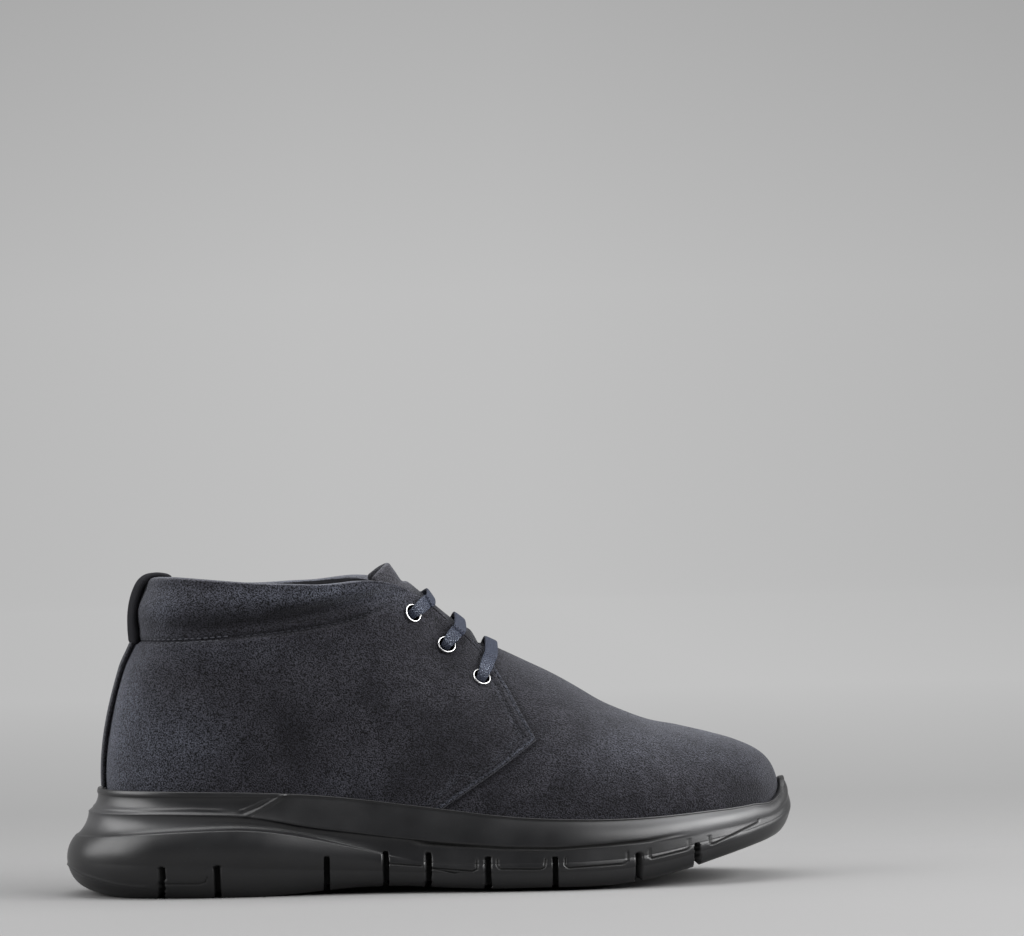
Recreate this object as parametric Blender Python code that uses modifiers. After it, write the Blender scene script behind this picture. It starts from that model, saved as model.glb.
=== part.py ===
"""A low chukka sneaker for the right foot, empty and standing on its sole.

Metres, +Z up, +X towards the toe, -Y the outer (lateral) side. The origin lies on the floor
under the middle of the shoe's box. The tables are in millimetres, with X counted from the
back of the heel, and one scale factor turns them into metres.
"""

import math

import bmesh
import bpy
import numpy as np
from mathutils import Vector

# ---------------------------------------------------------------- driving dimensions (mm)
MM = 0.001
SHOE_LENGTH = 303.8
HEEL_OVERHANG = 0.7          # how far the heel bulge reaches behind X = 0
BALL_SHIFT = 0.45            # the box's middle lies this far to the outer side of the heel axis

VAMP_WALL = 1.9
QUARTER_STEP = 1.2           # the quarter lies this much proud of the vamp
STEP_WIDTH = 0.7
COLLAR_PAD = 4.4             # extra thickness of the padded collar
COLLAR_SWELL, COLLAR_SWELL_HALF = 1.6, 11.0
COLLAR_SWELL_UP = 9.0        # where the padding is fullest, over the trough
TROUGH_DEPTH, TROUGH_HALF = 1.5, 5.5
SEAM_DEPTH, SEAM_HALF = 0.5, 3.0
CLEARANCE = 0.35             # between pieces that touch in the real shoe
LOOSE_FIT = 0.6              # the same under a sheet whose facets differ from its neighbour's
INSOLE_INSET = 0.9           # the same beside the insole

INSOLE_THICKNESS = 4.5
TONGUE_THICKNESS = 3.2
TONGUE_COVERED = 0.80        # how far down a section the facings cover the tongue
STRAP_THICKNESS = 1.3
STRIP_WIDTH = 11.0
TAB_WIDTH = 15.0
TAB_THICKNESS = 2.4

EYELET_HOLE = 2.45           # radius
EYELET_FLANGE = 4.0          # radius
EYELET_BARREL = 2.85         # radius
EYELET_RISE = 0.6
EYELET_SEAT = 0.7            # gap under the flange, which is flat on a curved facing
HOLE_SIDES, HOLE_CUTTER_LENGTH = 12, 12.0
LACE_WIDTH = 5.8
LACE_THICKNESS = 1.3

SLOT_WIDTH = 2.4
SLOT_DEPTH = 3.2
GROOVE_DEPTH = 2.2
SLOT_CUTTER_REACH = 30.0     # how far the cutters stand out of the sole

TOE_SPRING_START = 197.6
TOE_SPRING_RADIUS = 237.0
ARCH_START, ARCH_END, ARCH_RISE = 72.0, 187.0, 3.1
HEEL_BEVEL_START, HEEL_BEVEL_RADIUS = 26.0, 90.0
EDGE_LIFT, EDGE_LIFT_AT, EDGE_LIFT_HALF = 1.6, 193.0, 50.0      # the tread's edges beside the ball

# One row for each section of the upper, from the heel round to the toe. A section is a curve
# from the foot of the wall up to its top edge: the collar, then the facing, then the ridge.
# lateral and medial are distances from the heel axis, and drop is how much lower the top edge
# of the inner side is. rise and flare are the length and outward lean (degrees) of the curve's
# start, reach and pitch the length and fall of its end.
UPPER_COLUMNS = ("foot_x", "foot_lateral", "foot_medial", "foot_z",
                 "top_x", "top_lateral", "top_medial", "top_z", "drop",
                 "rise", "flare", "reach", "pitch")
UPPER_SECTIONS = (
    (18.8, 0.0, 0.0, 30.0, 35.4, 0.0, 0.0, 128.8, 0.0, 40, 11, 30, 80),
    (22.2, 15.0, 14.6, 30.0, 38.8, 14.5, 14.5, 129.8, 0.8, 40, 10, 30, 81),
    (33.4, 28.0, 27.2, 29.6, 47.6, 25.7, 25.7, 130.3, 1.9, 39, 8, 30, 83),
    (53.0, 35.7, 34.6, 28.8, 63.0, 32.2, 32.2, 129.5, 2.4, 37, 7, 30, 86),
    (76.0, 37.6, 35.0, 27.5, 83.5, 34.4, 34.2, 128.0, 1.6, 36, 6, 30, 87),
    (99.0, 37.2, 32.6, 26.0, 106.0, 32.5, 32.2, 127.1, -0.2, 36, 5, 30, 86),
    (119.0, 38.0, 31.9, 24.4, 127.0, 26.6, 27.0, 127.6, -0.7, 36, 5, 30, 80),
    (135.0, 40.0, 33.5, 22.8, 141.5, 16.5, 18.5, 124.2, 0.0, 36, 5, 29, 64),
    (149.0, 42.4, 36.5, 21.4, 155.0, 9.5, 13.5, 114.4, 0.0, 35, 5, 27, 50),
    (164.0, 45.2, 40.4, 20.3, 169.0, 11.8, 16.5, 101.6, 0.0, 34, 5, 26, 46),
    (181.0, 48.3, 44.6, 19.6, 179.5, -3.0, 3.0, 98.9, 0.0, 32, 6, 26, 8),
    (205.0, 49.9, 48.0, 19.4, 201.0, -4.0, 4.0, 88.5, 0.0, 29, 7, 28, 0),
    (229.0, 47.2, 48.1, 20.2, 222.5, -4.7, 4.7, 76.4, 0.0, 25, 8, 30, 0),
    (251.0, 41.4, 45.4, 21.6, 242.0, -5.4, 5.4, 67.2, 0.0, 22, 8, 30, 0),
    (271.0, 32.0, 39.0, 23.0, 255.5, -6.0, 6.0, 64.2, 0.0, 22, 8, 28, 0),
    (287.2, 18.5, 29.3, 24.0, 264.0, -6.4, 6.4, 62.2, 0.0, 24, 8, 26, 0),
    (296.3, 4.4, 18.4, 24.4, 269.0, -6.6, 6.6, 60.8, 0.0, 26, 6, 22, 0),
    (298.8, -6.7, 6.7, 24.5, 271.5, -6.7, 6.7, 60.0, 0.0, 27, 4, 20, 0),
)
SPANS = len(UPPER_SECTIONS) - 1
THROAT_END = 10 / SPANS      # where the two facings meet on the ridge
EDGE_TOP = 9 / SPANS         # where the quarter's front edge leaves the facing

# The quarter's front edge, seen from the side: down from the throat to its corner, and back.
QUARTER_EDGE = ((169.0, 102.2), (173.1, 98.0), (178.1, 91.2), (183.8, 81.3), (187.4, 73.2),
                (193.4, 61.2), (179.4, 51.4), (153.0, 33.9), (135.4, 21.0))

# The collar seam and the soft trough above it, seen from the side: X, seam Z, trough Z.
COLLAR_SEAM = ((14.0, 105.8, 109.0), (56.0, 106.0, 110.2), (80.0, 107.7, 112.4),
               (101.0, 109.8, 116.2), (118.0, 112.7, 119.2), (135.0, 118.0, 122.6))

HEEL_PINCH, HEEL_PINCH_HEIGHT = 1.4, 13.0     # the seam pulls the heel in under the collar
PINCH_ENDS = 32.0, 60.0                       # X where the pinch begins to fade and is gone
TROUGH_ENDS = 25.0, 75.0                      # X where the trough begins and is full
RELIEF_ENDS = 6.3 / SPANS, 7.4 / SPANS        # the sections over which the collar's relief fades
PAD_HEIGHTS = -2.0, 9.0                       # where the pad begins and is full, over the seam
PAD_ENDS = 6.0 / SPANS, 7.2 / SPANS           # the sections over which the pad thins out

# One row for each section of the sole's side. X is where the section meets the foot of the
# upper, each "out" the distance outside the upper's edge, and each Z a height over the floor.
SOLE_COLUMNS = ("x", "tread_out", "wall_z", "wall_out", "pod_z", "pod_out", "ledge", "hollow",
                "band_z", "band_in", "band_out", "band_sag", "lip", "rim_out", "rim_z")
SOLE_SECTIONS = (
    (18.8, 6.4, 15.0, 17.9, 24.9, 14.0, 0.9, -0.9, 34.3, 8.5, 8.6, -1.0, 2.5, 4.4, 44.2),
    (30.0, 4.6, 14.5, 13.8, 26.3, 11.3, 1.5, -1.1, 34.5, 6.9, 7.3, -1.0, 2.5, 3.8, 44.2),
    (50.0, 3.0, 13.5, 9.7, 27.7, 8.7, 1.5, -1.2, 34.2, 5.2, 5.7, -1.0, 2.4, 3.1, 43.8),
    (75.0, 2.8, 12.0, 8.3, 27.5, 7.7, 1.2, -1.2, 32.6, 4.8, 5.3, -0.7, 2.2, 2.9, 43.0),
    (95.0, 2.4, 11.0, 7.6, 24.3, 7.2, 1.1, -1.0, 28.6, 4.9, 5.9, 0.1, 1.2, 2.8, 41.8),
    (120.0, 1.8, 10.0, 6.6, 18.6, 6.6, 0.8, -0.5, 24.9, 5.0, 5.9, 0.2, 0.9, 2.6, 39.1),
    (140.0, 1.6, 9.0, 6.2, 14.0, 6.3, 0.1, -0.1, 22.4, 5.2, 6.1, 0.3, 0.8, 2.5, 36.4),
    (190.0, 2.6, 8.0, 6.2, 12.0, 6.2, 0.0, 0.0, 17.0, 5.5, 6.4, 0.8, 0.8, 2.3, 30.2),
    (235.0, 2.2, 9.5, 6.2, 13.5, 6.3, 0.0, 0.0, 19.1, 5.9, 6.4, 1.0, 0.8, 2.3, 28.9),
    (262.0, 0.5, 15.0, 6.1, 18.5, 6.2, 0.0, 0.0, 21.8, 5.7, 5.6, 1.0, 0.8, 2.4, 30.3),
    (282.0, -4.0, 20.0, 5.5, 22.5, 5.5, 0.0, 0.0, 25.0, 5.0, 4.9, 0.9, 0.8, 2.6, 31.8),
    (293.0, -8.0, 24.0, 5.2, 26.5, 5.2, 0.0, 0.0, 28.5, 4.7, 4.6, 0.7, 0.8, 2.6, 33.6),
    (297.0, -10.5, 26.5, 5.1, 29.5, 5.1, 0.0, 0.0, 32.0, 4.6, 4.5, 0.6, 0.8, 2.6, 37.6),
    (298.8, -9.0, 28.5, 5.0, 32.0, 5.1, 0.0, 0.0, 35.0, 4.5, 4.4, 0.5, 0.8, 2.6, 41.4),
)

# The upright slots along the sole's side, each with the height where it ends.
SLOTS = ((37.4, 13.7), (60.3, 13.9), (105.4, 16.3), (129.7, 17.6), (147.0, 16.8),
         (171.2, 14.8), (198.8, 14.4), (233.5, 14.8), (258.6, 17.8))

# A row for each lace bar, from the top down, seen from the side: X and Z of its eyelet, of the
# place where it leaves the facing, and of its crest over the tongue.
LACES = ((143.6, 113.8, 150.2, 119.0, 153.3, 121.4),
         (157.8, 99.9, 163.2, 105.6, 165.2, 111.8),
         (171.7, 86.2, 176.0, 94.2, 178.2, 101.8))

# The pull tab's outer face in the middle plane, X and Z, from the strip up and over the collar.
PULL_TAB = ((26.7, 105.4), (26.4, 110.0), (26.5, 116.0), (27.3, 121.4), (28.9, 126.4),
            (31.2, 130.4), (34.6, 132.7), (39.0, 133.0), (43.4, 131.6), (44.9, 127.0),
            (43.6, 121.5))
TAB_FULLNESS = (0.55, 0.9, 1.0, 1.0, 1.0, 0.95, 0.68, 0.62, 0.6, 0.6, 0.6)      # of its thickness
TAB_BEND = 0.03              # how its cross-section curves round the heel, per mm
TAB_ROWS, TAB_COLUMNS = 17, 5
STRIP_START, STRIP_END = 0.135, 0.727
STRIP_ROWS, STRIP_COLUMNS = 9, 6

# The tongue's tip: X, Y and Z of its middle, and how its edge falls away to each side.
TONGUE_TIP = (136.6, 1.5, 134.4)
TONGUE_TIP_HALF = 17.0
TONGUE_SWEEP = 6.5
TONGUE_SHOULDER = 5.0
TONGUE_CROWN = 0.40          # how full the arch between the facings is, over the gap there
TONGUE_LIFT = (0.5, 2.4, 1.0, -0.1, 0.0, -0.1, -0.9, -2.4)     # of the arch, a row each
TONGUE_SIDE_POINTS = 4
TONGUE_TIP_ROWS = (0.35, 0.7, 1.0)
TONGUE_DIP = 2.0             # below the straight line to the tip
TONGUE_FOOT, TONGUE_FREE = 9.6 / SPANS, 7.2 / SPANS

# The way of a lace bar from its eyelet (0) to the facing's edge (1), and the height of the
# lace's outer face over the facing at each of these places.
LACE_WAY = (-0.02, 0.3, 0.62, 0.94)
LACE_HEIGHTS = (2.1, 3.4, 3.6, 3.6)
LACE_END_WIDTH = 2.8
LACE_ROWS = 19

WALL_SWELL, POD_SWELL = 0.28, 0.11      # how far the sole's side swells, over its own run
LEDGE_HEIGHT = 0.35
LIP_PROUD = 0.35
INSOLE_DISH = 0.8
EYELET_DEPTH = 2.4                      # how far a barrel reaches in from the facing
EYELET_STEPS = 14
ROLL_ANGLES = (math.radians(55), math.radians(125))
ROLL_FULLNESS = 0.045        # height of the rolled edge over the square of its width, per mm

# Grid of the upper: how many columns lie behind the quarter's edge, beside the throat's end
# and over the vamp, and the heights of its rows along a section.
QUARTER_COLUMNS, THROAT_COLUMNS, VAMP_COLUMNS = 26, 2, 15
OUTER_ROWS = (0, 0.09, 0.18, 0.27, 0.36, 0.442, 0.54, 0.64, 0.73, 0.79, 0.84, 0.89, 0.94, 1)
INNER_ROWS = (0, 0.2, 0.4, 0.58, 0.74, 0.84, 0.92, 1)
LATERAL, MEDIAL = -1, 1
STEPS_TO_SOLVE = 30          # enough for places on the surface to settle below a micrometre


# ---------------------------------------------------------------- curves and tables
def spline(rows, s):
    """Catmull-Rom through rows 1 to n of rows, whose first and last only steer the ends."""
    spans = len(rows) - 3
    place = np.clip(np.asarray(s, float), 0, 1) * spans
    index = np.minimum(place.astype(int), spans - 1)
    f = (place - index)[..., None]
    p0, p1, p2, p3 = (rows[index + k] for k in range(4))
    return 0.5 * (2 * p1 + (p2 - p0) * f + (2 * p0 - 5 * p1 + 4 * p2 - p3) * f**2
                  + (3 * p1 - p0 - 3 * p2 + p3) * f**3)


def smooth_rows(table, x):
    """The table's other columns at x, by cubic Hermite curves between its rows."""
    rows = np.asarray(table, float)
    keys, values = rows[:, 0], rows[:, 1:]
    slopes = np.gradient(values, keys, axis=0)
    x = np.clip(np.asarray(x, float), keys[0], keys[-1])
    index = np.clip(np.searchsorted(keys, x) - 1, 0, len(keys) - 2)
    width = (keys[index + 1] - keys[index])[..., None]
    f = (x[..., None] - keys[index][..., None]) / width
    return ((1 + 2 * f) * (1 - f)**2 * values[index] + f * (1 - f)**2 * width * slopes[index]
            + f**2 * (3 - 2 * f) * values[index + 1] + f**2 * (f - 1) * width * slopes[index + 1])


def bump(x):
    """1 at x = 0, falling smoothly to 0 at -1 and 1."""
    return np.where(np.abs(x) < 1, np.cos(0.5 * np.pi * np.clip(x, -1, 1))**2, 0)


def rise_between(x, low, high):
    f = np.clip((x - low) / (high - low), 0, 1)
    return f * f * (3 - 2 * f)


def unit(vectors):
    return vectors / np.maximum(np.linalg.norm(vectors, axis=-1, keepdims=True), 1e-9)


# ---------------------------------------------------------------- the upper's surface
def section_rows(side):
    """The section table for one side, as columns of points, with the steering rows added."""
    columns = dict(zip(UPPER_COLUMNS, np.asarray(UPPER_SECTIONS, float).T))

    def table(this):
        name = "lateral" if this == LATERAL else "medial"
        top_z = columns["top_z"] - columns["drop"] * (this == MEDIAL)
        return np.stack([columns["foot_x"], this * columns["foot_" + name], columns["foot_z"],
                         columns["top_x"], this * columns["top_" + name], top_z,
                         columns["rise"], columns["flare"], columns["reach"], columns["pitch"]],
                        axis=-1)

    here, there = table(side), table(-side)
    return np.vstack([there[1], here, there[-2]])


SECTIONS = {side: section_rows(side) for side in (LATERAL, MEDIAL)}


def upper_point(side, s, t):
    """A point of the upper's smooth outer surface: s from heel to toe, t from foot to top."""
    s, t = np.broadcast_arrays(np.asarray(s, float), np.asarray(t, float))
    values = spline(SECTIONS[side], s)
    foot, top = values[..., 0:3], values[..., 3:6]
    rise, flare, reach, pitch = np.moveaxis(values[..., 6:10], -1, 0)
    step = 0.004
    ahead = spline(SECTIONS[side], np.minimum(s + step, 1))[..., 3:6]
    behind = spline(SECTIONS[side], np.maximum(s - step, 0))[..., 3:6]
    run = np.maximum(ahead[..., 0] - behind[..., 0], 1e-3)
    slope = np.clip((ahead[..., 2] - behind[..., 2]) / run, -0.9, 0) * rise_between(s, 0.3, 0.45)
    outward = unit((foot - top) * (1, 1, 0))
    flare, pitch = np.radians(flare), np.radians(pitch)
    start = foot_normal(side, s) * np.sin(flare)[..., None]
    start[..., 2] = np.cos(flare)
    end = outward * np.cos(pitch)[..., None]
    end[..., 2] += slope * end[..., 0] - np.sin(pitch)
    lean = (top - foot) * (1, 0, 0) / 3
    lean *= rise_between(s, 0.12, 0.3)[..., None] * (1 - rise_between(s, 0.62, 0.85))[..., None]
    first = foot + start * rise[..., None] + lean
    second = top + end * reach[..., None]
    t = t[..., None]
    return ((1 - t)**3 * foot + 3 * t * (1 - t)**2 * first
            + 3 * t**2 * (1 - t) * second + t**3 * top)


def foot_normal(side, s):
    """The outward direction, in plan, of the outline that the foot of the wall follows."""
    step = 0.004
    ahead = spline(SECTIONS[side], np.minimum(s + step, 1))[..., 0:3]
    behind = spline(SECTIONS[side], np.maximum(s - step, 0))[..., 0:3]
    along = (ahead - behind) * (1, 1, 0)
    normal = np.stack([-along[..., 1], along[..., 0], 0 * s], axis=-1) * side
    end = (s <= 0) | (s >= 1)
    normal[..., 1] = np.where(end, 0, normal[..., 1])
    return unit(normal)


def upper_normal(side, s, t):
    """The outward direction of the surface, taken just below the ridge where the rows meet."""
    step = 0.003
    s, t = np.broadcast_arrays(np.asarray(s, float), np.asarray(t, float))
    near = np.minimum(t, 0.96)
    along = (upper_point(side, np.minimum(s + step, 1), near)
             - upper_point(side, np.maximum(s - step, 0), near))
    up = (upper_point(side, s, near + step) - upper_point(side, s, np.maximum(near - step, 0)))
    normal = np.cross(up, along) * side
    centre = (s <= 0) | (s >= 1) | ((t >= 1) & (s >= THROAT_END - 1e-9))
    normal[..., 1] = np.where(centre, 0, normal[..., 1])
    return unit(normal)


def quarter_edge(side, t):
    """The s at which the quarter's front edge crosses the row at height t."""
    edge = np.asarray(QUARTER_EDGE, float)[::-1]
    corner = int(np.argmax(edge[:, 0]))
    low, high = np.full(np.shape(t), 0.3), np.full(np.shape(t), 0.75)
    for _ in range(STEPS_TO_SOLVE):
        middle = (low + high) / 2
        point = upper_point(side, middle, t)
        above = np.interp(point[..., 2], edge[corner:, 1], edge[corner:, 0])
        below = np.interp(point[..., 2], edge[:corner + 1, 1], edge[:corner + 1, 0])
        border = np.where(point[..., 2] > edge[corner, 1], above, below)
        behind = point[..., 0] < border
        low, high = np.where(behind, middle, low), np.where(behind, high, middle)
    return np.where(t >= 1, EDGE_TOP, low)


def upper_columns(side, t):
    """s of every column at height t (one height, or one for each column)."""
    behind = np.linspace(0, EDGE_TOP, QUARTER_COLUMNS + 1)
    beside = np.linspace(EDGE_TOP, THROAT_END, THROAT_COLUMNS + 1)
    over = np.linspace(THROAT_END, 1, VAMP_COLUMNS + 1)[1:]
    front = np.concatenate([beside, over])
    t = np.broadcast_to(np.asarray(t, float), len(behind) + len(front))
    edge = quarter_edge(side, t)
    half_step = 0.5 * STEP_WIDTH / SHOE_LENGTH
    quarter = behind * (edge - half_step)[:len(behind)] / EDGE_TOP
    edge, t = edge[len(behind):], t[len(behind):]
    share = (front - EDGE_TOP) / (1 - EDGE_TOP)
    vamp = edge + share * (1 - edge)
    vamp[0] = edge[0] + half_step
    return np.concatenate([quarter, vamp])


ON_QUARTER = np.arange(QUARTER_COLUMNS + THROAT_COLUMNS + VAMP_COLUMNS + 2) <= QUARTER_COLUMNS
CUP_ON_QUARTER = np.append(True, ON_QUARTER[:-1])         # the sole's cup steps in just ahead
THROAT_COLUMN = QUARTER_COLUMNS + 1 + THROAT_COLUMNS      # the first column on the closed ridge


def collar_relief(point, s):
    """How far the padded collar swells, and the trough over its seam sinks."""
    seam, trough = np.moveaxis(smooth_rows(COLLAR_SEAM, point[..., 0]), -1, 0)
    height = point[..., 2]
    fade = 1 - rise_between(s, *RELIEF_ENDS)
    swell = COLLAR_SWELL * bump((height - trough - COLLAR_SWELL_UP) / COLLAR_SWELL_HALF)
    sink = -TROUGH_DEPTH * bump((height - trough) / TROUGH_HALF)
    sink *= rise_between(point[..., 0], *TROUGH_ENDS)
    sink -= SEAM_DEPTH * bump((height - seam) / SEAM_HALF)
    heel = 1 - rise_between(point[..., 0], *PINCH_ENDS)
    sink -= HEEL_PINCH * bump((height - seam) / HEEL_PINCH_HEIGHT) * heel
    return (swell + sink) * fade


def outer_wall(side, s, t, on_quarter):
    base = upper_point(side, s, t)
    out = QUARTER_STEP * np.asarray(on_quarter, float) + collar_relief(base, s)
    return base + upper_normal(side, s, t) * np.asarray(out)[..., None]


def inner_wall(side, s, t):
    base = upper_point(side, s, t)
    seam = smooth_rows(COLLAR_SEAM, base[..., 0])[..., 0]
    pad = COLLAR_PAD * rise_between(base[..., 2] - seam, *PAD_HEIGHTS)
    pad *= 1 - rise_between(s, *PAD_ENDS)
    return base - upper_normal(side, s, t) * (VAMP_WALL + pad)[..., None]


# ---------------------------------------------------------------- mesh helpers
def placed(points):
    """Table millimetres to metres in the shoe's frame."""
    shift = np.array([SHOE_LENGTH / 2 - HEEL_OVERHANG, -BALL_SHIFT, 0])
    return (np.asarray(points, float) - shift) * MM


class Mesh:
    """A bmesh that grows by rings of points."""

    def __init__(self):
        self.bm = bmesh.new()

    def row(self, points):
        return [self.bm.verts.new(Vector(p)) for p in placed(points)]

    def band(self, first, second, closed=False):
        """Faces between two rows of equal length; a corner that both rows share is skipped."""
        count = len(first)
        for i in range(count if closed else count - 1):
            j = (i + 1) % count
            corners = [first[i], first[j], second[j], second[i]]
            corners = [v for k, v in enumerate(corners) if v not in corners[:k]]
            if len(corners) > 2:
                self.bm.faces.new(corners)

    def finish(self, name, smooth_angle=35.0):
        bmesh.ops.triangulate(self.bm, faces=self.bm.faces[:])
        bmesh.ops.recalc_face_normals(self.bm, faces=self.bm.faces[:])
        mesh = bpy.data.meshes.new(name)
        self.bm.to_mesh(mesh)
        self.bm.free()
        mesh.shade_smooth()
        mesh.set_sharp_from_angle(angle=math.radians(smooth_angle))
        obj = bpy.data.objects.new(name, mesh)
        SHOE.objects.link(obj)
        return obj


def material(name, colour, roughness, metallic=0.0):
    made = bpy.data.materials.new(name)
    made.use_nodes = True
    shader = made.node_tree.nodes["Principled BSDF"]
    shader.inputs["Base Color"].default_value = (*colour, 1)
    shader.inputs["Roughness"].default_value = roughness
    shader.inputs["Metallic"].default_value = metallic
    return made


def cutter(name, bm):
    bmesh.ops.recalc_face_normals(bm, faces=bm.faces[:])
    mesh = bpy.data.meshes.new(name)
    bm.to_mesh(mesh)
    bm.free()
    obj = bpy.data.objects.new(name, mesh)
    obj.hide_render = True
    obj.display_type = "WIRE"
    CUTTERS.objects.link(obj)
    return obj


def cut(obj, tool):
    boolean = obj.modifiers.new("cut_" + tool.name, "BOOLEAN")
    boolean.operation = "DIFFERENCE"
    boolean.solver = "EXACT"
    boolean.object = tool


def sheet(name, rows, thickness, smooth_angle=35.0):
    """A strap or pad: rows of points on its outer face, thickened inwards by Solidify."""
    mesh = Mesh()
    lines = [mesh.row(row) for row in rows]
    for first, second in zip(lines, lines[1:]):
        mesh.band(first, second)
    data = bpy.data.meshes.new(name)
    mesh.bm.to_mesh(data)
    mesh.bm.free()
    data.shade_smooth()
    data.set_sharp_from_angle(angle=math.radians(smooth_angle))
    obj = bpy.data.objects.new(name, data)
    SHOE.objects.link(obj)
    solid = obj.modifiers.new("thickness", "SOLIDIFY")
    solid.thickness = thickness * MM
    solid.offset = -1
    return obj


# ---------------------------------------------------------------- the pieces
def ring_from_halves(mesh, halves, ridge_joined=False):
    """A ring of vertices: heel, outer side, toe and back along the inner side.

    With ridge_joined, both sides share the vertices from the throat's end to the toe.
    """
    lateral, medial = (np.array(half) for half in halves)
    lateral[[0, -1]] = (lateral[[0, -1]] + medial[[0, -1]]) / 2
    if ridge_joined:
        lateral[THROAT_COLUMN:] = (lateral[THROAT_COLUMN:] + medial[THROAT_COLUMN:]) / 2
        out = mesh.row(lateral)
        back = mesh.row(medial[1:THROAT_COLUMN]) + out[THROAT_COLUMN:-1]
    else:
        out = mesh.row(lateral)
        back = mesh.row(medial[1:-1])
    return out + back[::-1]


def fill_across(mesh, ring, height, inner_points):
    """Closes a ring with strips that run from its outer side to its inner side."""
    count = len(ring)
    half = count // 2
    rows = []
    for j in range(half + 1):
        first, last = ring[j], ring[(count - j) % count]
        if first is last:
            rows.append([first] * (inner_points + 2))
            continue
        row = [first]
        for k in range(1, inner_points + 1):
            point = first.co.lerp(last.co, k / (inner_points + 1))
            point.z = height(point, abs(2 * k / (inner_points + 1) - 1))
            row.append(mesh.bm.verts.new(point))
        rows.append(row + [last])
    for first, second in zip(rows, rows[1:]):
        mesh.band(first, second)


def make_upper():
    """One hollow wall, open at the collar, along the throat and underneath."""
    mesh = Mesh()

    def grid(rows, wall):
        rings = []
        for t in rows:
            halves = []
            for side in (LATERAL, MEDIAL):
                s = upper_columns(side, t)
                halves.append(wall(side, s, np.full(len(s), float(t))))
            rings.append(ring_from_halves(mesh, halves, ridge_joined=t >= 1))
        for first, second in zip(rings, rings[1:]):
            mesh.band(first, second, closed=True)
        return rings

    outer = grid(OUTER_ROWS, lambda side, s, t: outer_wall(side, s, t, ON_QUARTER))
    inner = grid(INNER_ROWS, inner_wall)
    mesh.band(outer[0], inner[0], closed=True)

    # the rolled edge of the collar and facings joins the two top rows
    count = len(outer[-1])
    order = list(range(THROAT_COLUMN + 1)) + list(range(count - THROAT_COLUMN + 1, count))
    first, last, below = ([ring[i] for i in order] for ring in (outer[-1], inner[-1], outer[-2]))
    rows = [first]
    for angle in ROLL_ANGLES:
        row = []
        for a, b, c in zip(first, last, below):
            middle = (a.co + b.co) / 2
            up = (a.co - c.co).normalized() * ROLL_FULLNESS / MM * (a.co - b.co).length_squared
            row.append(mesh.bm.verts.new(middle + (a.co - middle) * math.cos(angle)
                                         + up * math.sin(angle)))
        rows.append(row)
    rows.append(last)
    for one, two in zip(rows, rows[1:]):
        mesh.band(one, two, closed=True)
    upper = mesh.finish("upper")

    holes = bmesh.new()
    for side in (LATERAL, MEDIAL):
        for place, normal in eyelet_places(side):
            turn = Vector(normal).to_track_quat("Z", "Y").to_matrix().to_4x4()
            turn.translation = Vector(placed(place))
            bmesh.ops.create_cone(holes, cap_ends=True, segments=HOLE_SIDES,
                                  depth=HOLE_CUTTER_LENGTH * MM,
                                  radius1=(EYELET_BARREL + CLEARANCE) * MM,
                                  radius2=(EYELET_BARREL + CLEARANCE) * MM, matrix=turn)
    cut(upper, cutter("eyelet_holes", holes))
    return upper


def section_at(x, z):
    """s and t of the point of the outer side that lies at x, z when seen from the side."""
    s, t = 8 / SPANS, 0.9
    for _ in range(STEPS_TO_SOLVE):
        here = upper_point(LATERAL, s, t)
        by_s = (upper_point(LATERAL, s + 1e-3, t) - here) * 1e3
        by_t = (here - upper_point(LATERAL, s, t - 1e-3)) * 1e3
        move = np.linalg.solve([[by_s[0], by_t[0]], [by_s[2], by_t[2]]], [x - here[0], z - here[2]])
        s, t = s + 0.7 * move[0], min(t + 0.7 * move[1], 0.99)
    return s, t


def eyelet_places(side):
    """Centre on the facing's surface and outward direction of each eyelet, from the top down."""
    places = []
    for x, z, *_ in LACES:
        s, t = section_at(x, z)
        normal = upper_normal(side, s, t)
        places.append((upper_point(side, s, t) + normal * QUARTER_STEP, normal))
    return places


def rim_heights(side):
    """t at which each column of the upper passes the sole's rim."""
    low, high = np.zeros(len(ON_QUARTER)), np.full(len(ON_QUARTER), 0.6)
    for _ in range(STEPS_TO_SOLVE):
        middle = (low + high) / 2
        s = upper_columns(side, middle)
        wanted = smooth_rows(SOLE_SECTIONS, upper_point(side, s, 0.0)[:, 0])[:, -1]
        below = upper_point(side, s, middle)[:, 2] < wanted
        low, high = np.where(below, middle, low), np.where(below, high, middle)
    return low


def floor_height(x):
    """Height of the tread over the floor: heel bevel, flat heel, arch, flat ball, toe spring."""
    arch = ARCH_RISE * np.sin(np.pi * np.clip((x - ARCH_START) / (ARCH_END - ARCH_START), 0, 1))**2
    spring = np.maximum(x - TOE_SPRING_START, 0)**2 / (2 * TOE_SPRING_RADIUS)
    bevel = np.maximum(HEEL_BEVEL_START - x, 0)**2 / (2 * HEEL_BEVEL_RADIUS)
    return arch + spring + bevel


def edge_lift(x):
    """How much higher than the middle the tread's edges lie, beside the ball."""
    return EDGE_LIFT * bump((x - EDGE_LIFT_AT) / EDGE_LIFT_HALF)


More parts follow.
